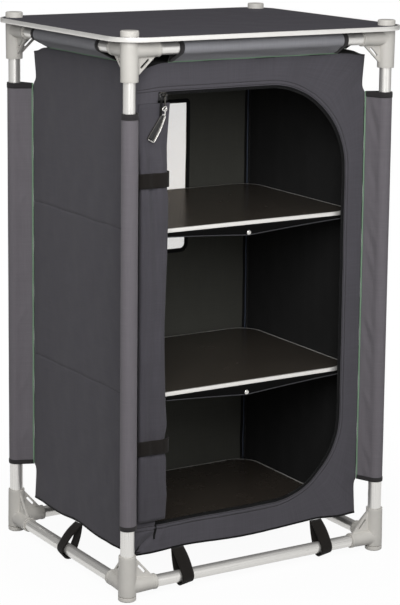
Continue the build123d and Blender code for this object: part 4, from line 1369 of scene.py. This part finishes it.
class CUPBOARD_OT_door(bpy.types.Operator):
    """Make the door, rolled up at the left, and the two straps that hold it"""

    bl_idname = "cupboard.door"
    bl_label = "Rolled door"

    def execute(self, context):
        sizes = context.scene.cupboard_sizes
        wound, height = lattice(
            np.linspace(0, 1, int(ROLL_TURNS * 44)), levels(roll_low.z, roll_high.z - 5 * MM, 6 * MM)
        )
        angle = math.radians(60) - wound * ROLL_TURNS * 2 * math.pi
        door = mesh_object("door_roll", [roll_point(angle, 1 - ROLL_SHRINK * wound, height)])
        face_out(door, ROLL_LINE)
        # The roll's outside takes the door cloth, darkened as painted shade
        thicken(door, 0.4 * MM, "door_cloth", "lining", offset=0)
        sheet(door, "dark_cloth", ["rolled_door"])
        for name, middle, loose in (
            ("low", strap_low.z + STRAP_HALF, 6.0 * MM), ("high", strap_high.z - STRAP_HALF, 2.0 * MM),
        ):
            angle, t = lattice(np.radians(np.linspace(8, -188, 60)), np.linspace(-STRAP_HALF, STRAP_HALF, 9))
            grow = 1.7 * MM + loose * np.clip(np.cos(angle), 0, 1) ** 2
            grid = roll_point(angle, np.ones_like(angle), middle + 0 * t, grow, folded=0.25)
            grid[..., 2] = middle + t + 0.8 * MM * np.sin(angle * 2) + 1.2 * MM * np.cos(angle)
            strap = mesh_object(f"door_strap_{name}", [grid])
            face_out(strap, ROLL_LINE)
            thicken(strap, sizes.webbing, "webbing")
            sheet(strap, "webbing", ["door_straps"])
        return {"FINISHED"}


# Finish of each material slot, finishes of single nodes, and the width of a slot's soft edges
FINISHES = {
    "connector_plastic": "plastic", "tube_aluminium": "upright", "rim_aluminium": "rim",
    "table_board": "table", "shelf_board": "shelf", "bright_metal": "metal",
}
OWN_FINISHES = {"floor_board": "floor_board", "zip_slider": "slider", "zip_pull": "pull"}
SOFT_EDGES = {"connector_plastic": 0.7 * MM, "rim_aluminium": 0.3 * MM, "bright_metal": 0.25 * MM}


class CUPBOARD_OT_hardware(bpy.types.Operator):
    """Give the tubes, connectors, boards and metal pieces their finish and their smooth shading"""

    bl_idname = "cupboard.hardware"
    bl_label = "Frame, boards and hardware"

    def execute(self, context):
        slots = {part["node"]: part["material_slot"] for part in frame["record"]["subparts"]}
        for name, node in frame["nodes"].items():
            if node.hide_render:
                continue
            finish = OWN_FINISHES.get(name, FINISHES[slots[name]])
            if name.endswith("rail"):
                finish = "front_rail" if name.startswith(("front", "back")) else "side_rail"
            node.data.materials.clear()
            node.data.materials.append(MATERIALS[finish])
            node.data.polygons.foreach_set("use_smooth", np.ones(len(node.data.polygons), bool))
            node.modifiers.new("Join facets", "WELD").merge_threshold = 0.01 * MM
            if slots[name] in SOFT_EDGES:
                bevel = node.modifiers.new("Soft edges", "BEVEL")
                bevel.width = SOFT_EDGES[slots[name]]
                bevel.segments = 2
                bevel.limit_method = "ANGLE"
                bevel.angle_limit = math.radians(40)
            node.modifiers.new("Crisp edges", "EDGE_SPLIT").split_angle = math.radians(38)
        return {"FINISHED"}


class CUPBOARD_OT_pull_inset(bpy.types.Operator):
    """Make the plate inside the zip pull's open frame, its link, a dark strip of painted shade down its left
    side, and the slider's cover
    """

    bl_idname = "cupboard.pull_inset"
    bl_label = "Zip pull and slider details"

    def execute(self, context):
        outward = (0, -1, 0)
        axis = np.array([PULL_AXIS_X, pull_low.y, PULL_AXIS_Z])
        down, across = lattice(np.linspace(0.04, 0.95, 24), np.linspace(0.1, 0.88, 10))
        left = PULL_TOP_LEFT + (PULL_CORNER - PULL_TOP_LEFT) * down[..., None]
        bend = PULL_BEND_SHARE
        right = (
            PULL_TOP_RIGHT * ((down - bend) * (down - 1) / bend)[..., None]
            + PULL_BEND * (down * (down - 1) / (bend * (bend - 1)))[..., None]
            + PULL_TIP * (down * (down - bend) / (1 - bend))[..., None]
        )
        flat = left + (right - left) * across[..., None]
        ridge = 0.5 * MM * np.cos((across - 0.5) * 9) + 0.3 * MM * np.sin(down * 40)
        plate = np.stack([flat[..., 0], (pull_high.y - pull_low.y) / 2 - ridge, flat[..., 1]], -1)
        plate = thicken(mesh_object("pull_plate", [axis + plate], outward), 1.0 * MM, "teeth")
        place(plate, "bright_metal", body="pull")
        # Painted shade: a dark strip down the pull's left side, from near the slider to the bar
        down, across = lattice(np.linspace(7, 35, 14), np.linspace(-2.2, 2.2, 5))
        strap = np.stack([-7.4 - 0.06 * down + across, 0.7 + 0.02 * across**2, -down], -1) * MM
        strap = mesh_object("pull_shade_strip", [axis + strap], outward)
        place(thicken(strap, 0.8 * MM, "tail"), "bright_metal", body="pull")
        turn = np.linspace(0, 2 * math.pi, 24, endpoint=False)
        long, short = 4.6 * np.cos(turn), 2.6 * np.sin(turn)
        tilt = math.radians(38)
        ring = np.stack([
            long * math.cos(tilt) - short * math.sin(tilt) - 2.5, 0 * turn + 0.4,
            long * math.sin(tilt) + short * math.cos(tilt) - 22.5,
        ], -1) * MM
        link = tube_object("pull_link", axis + ring, 1.2 * MM, closed=True)
        dress(link, "metal", "bright_metal", "pull")
        foot = PULL_TIP + (PULL_CORNER - PULL_TIP) * np.linspace(0.1, 0.9, 8)[:, None]
        rim = axis + np.insert(np.vstack([right[:, 0], foot]), 1, 0, axis=1) + (-0.4 * MM, 0.2 * MM, 0)
        dress(tube_object("pull_rim", rim, 0.8 * MM), "metal", "bright_metal", "pull")
        low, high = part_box("zip_slider")
        u, v = lattice(np.linspace(-1, 1, 15), np.linspace(-1, 1, 11))
        dome = np.sqrt(np.clip(1 - np.maximum(np.abs(u) ** 5, np.abs(v) ** 5), 0, 1))
        cover = np.stack([9 * u, -(3.2 + 0.5 * np.cos(u * 9) * np.cos(v * 6)) * dome, 7 * v], -1) * MM
        middle = ((low.x + high.x) / 2, -HALF_DEPTH + 0.2 * MM, (low.z + high.z) / 2 - 4 * MM)
        cover = mesh_object("slider_cover", [cover + middle], outward)
        dress(cover, "teeth", "bright_metal", "slider")
        return {"FINISHED"}


class CUPBOARD_OT_stage(bpy.types.Operator):
    """Make the floor, the light and the camera"""

    bl_idname = "cupboard.stage"
    bl_label = "Floor, light and camera"

    def execute(self, context):
        scene = context.scene
        azimuth, elevation = math.radians(CAMERA_AZIMUTH), math.radians(CAMERA_ELEVATION)
        flat = math.cos(elevation)
        back = Vector((math.sin(azimuth) * flat, -math.cos(azimuth) * flat, math.sin(elevation)))
        right = (-back).cross(Vector((0, 0, 1))).normalized()
        up = right.cross(-back)
        roll = math.radians(CAMERA_ROLL)
        right, up = right * math.cos(roll) + up * math.sin(roll), up * math.cos(roll) - right * math.sin(roll)
        camera = bpy.data.objects.new("Camera", bpy.data.cameras.new("Camera"))
        scene.collection.objects.link(camera)
        turn = Matrix((right, up, back)).transposed().to_4x4()
        camera.matrix_world = Matrix.Translation(CAMERA_PLACE) @ turn
        camera.data.lens = camera.data.sensor_width * CAMERA_FOCUS_PIXELS / IMAGE_HEIGHT
        camera.data.shift_y = (CAMERA_CENTRE_ROW - IMAGE_HEIGHT / 2) / IMAGE_HEIGHT
        camera.data.clip_start = 0.1
        camera.data.clip_end = 50
        scene.camera = camera

        x, y = lattice((-FLOOR_HALF, FLOOR_HALF), (-FLOOR_HALF, FLOOR_HALF))
        floor = mesh_object("ground", [np.stack([x, y, np.zeros_like(x)], -1)], (0, 0, 1))
        material, tree, shader = blank_material("Pale floor")
        ray = add_node(tree, "ShaderNodeLightPath").outputs
        seen = calculate(tree, "MAXIMUM", ray["Is Camera Ray"], ray["Is Glossy Ray"])
        seen = calculate(tree, "MAXIMUM", seen, ray["Is Transmission Ray"])
        colour = mix_colours(tree, ray["Is Camera Ray"], FLOOR_BOUNCE, FLOOR_SEEN)
        tree.links.new(colour, shader.inputs["Base Color"])
        shader.inputs["Roughness"].default_value = 0.9
        shader.inputs["Specular IOR Level"].default_value = 0.0
        glow = add_node(tree, "ShaderNodeEmission", {"Color": WHITE, "Strength": 1.0})
        where = add_node(tree, "ShaderNodeTexCoord").outputs["Object"]
        distance = add_node(tree, "ShaderNodeVectorMath", {0: where}, operation="LENGTH").outputs["Value"]
        fade = remap(tree, distance, NEAR_FLOOR, FAR_FLOOR, NEAR_GLOW, FAR_GLOW)
        share = calculate(tree, "MULTIPLY", seen, fade)
        mix = add_node(tree, "ShaderNodeMixShader", {0: share, 1: shader.outputs[0], 2: glow.outputs[0]})
        output = next(node for node in tree.nodes if node.type == "OUTPUT_MATERIAL")
        tree.links.new(mix.outputs[0], output.inputs["Surface"])
        floor.data.materials.append(material)

        world = bpy.data.worlds.new("Studio")
        scene.world = world
        world.use_nodes = True
        tree = world.node_tree
        tree.nodes.clear()
        direction = add_node(tree, "ShaderNodeTexCoord").outputs["Generated"]
        toward_key = add_node(
            tree, "ShaderNodeVectorMath", {0: direction, 1: KEY_SIDE}, operation="DOT_PRODUCT"
        ).outputs["Value"]
        level = remap(tree, toward_key, -0.6, 1.0, STUDIO_DARK, STUDIO_BRIGHT)
        studio = add_node(tree, "ShaderNodeBackground", {"Strength": level})
        white = add_node(tree, "ShaderNodeBackground", {"Strength": 1.0})
        for light in (studio, white):
            light.inputs["Color"].default_value = WHITE
        ray = add_node(tree, "ShaderNodeLightPath").outputs
        seen = calculate(tree, "MAXIMUM", ray["Is Camera Ray"], ray["Is Transmission Ray"])
        mix = add_node(tree, "ShaderNodeMixShader", {0: seen, 1: studio.outputs[0], 2: white.outputs[0]})
        add_node(tree, "ShaderNodeOutputWorld", {"Surface": mix.outputs[0]})

        for name, (spot, size, energy) in LAMPS.items():
            lamp = bpy.data.lights.new(name, "AREA")
            lamp.size, lamp.energy = size, energy
            light = bpy.data.objects.new(name, lamp)
            light.location = spot
            light.rotation_euler = (LAMP_TARGET - Vector(spot)).to_track_quat("-Z", "Y").to_euler()
            scene.collection.objects.link(light)
        scene.view_settings.view_transform = "Standard"
        return {"FINISHED"}


OPERATORS = (
    CUPBOARD_OT_stage, CUPBOARD_OT_materials, CUPBOARD_OT_sides, CUPBOARD_OT_front, CUPBOARD_OT_zip,
    CUPBOARD_OT_back, CUPBOARD_OT_inside, CUPBOARD_OT_corner_sleeves, CUPBOARD_OT_top_sleeves,
    CUPBOARD_OT_loops, CUPBOARD_OT_door, CUPBOARD_OT_pull_inset, CUPBOARD_OT_hardware,
)


class CUPBOARD_PT_panel(bpy.types.Panel):
    """Lists the cupboard's pieces, sizes and colours"""

    bl_label = "Camping Cupboard"
    bl_idname = "CUPBOARD_PT_panel"
    bl_space_type = "VIEW_3D"
    bl_region_type = "UI"
    bl_category = "Cupboard"

    def draw(self, context):
        for step in OPERATORS:
            self.layout.operator(step.bl_idname)
        for group in (context.scene.cupboard_sizes, context.scene.cupboard_colours):
            for name in group.__annotations__:
                self.layout.prop(group, name)


CLASSES = (CupboardSizes, CupboardColours, *OPERATORS, CUPBOARD_PT_panel)


def register():
    for cls in CLASSES:
        bpy.utils.register_class(cls)
    bpy.types.Scene.cupboard_sizes = PointerProperty(type=CupboardSizes)
    bpy.types.Scene.cupboard_colours = PointerProperty(type=CupboardColours)


def unregister():
    del bpy.types.Scene.cupboard_colours
    del bpy.types.Scene.cupboard_sizes
    for cls in reversed(CLASSES):
        bpy.utils.unregister_class(cls)


def main():
    """Builds the whole cupboard."""
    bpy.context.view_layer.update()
    register()
    for step in OPERATORS:
        getattr(bpy.ops.cupboard, step.bl_idname.split(".")[1])()


if __name__ == "__main__":
    main()
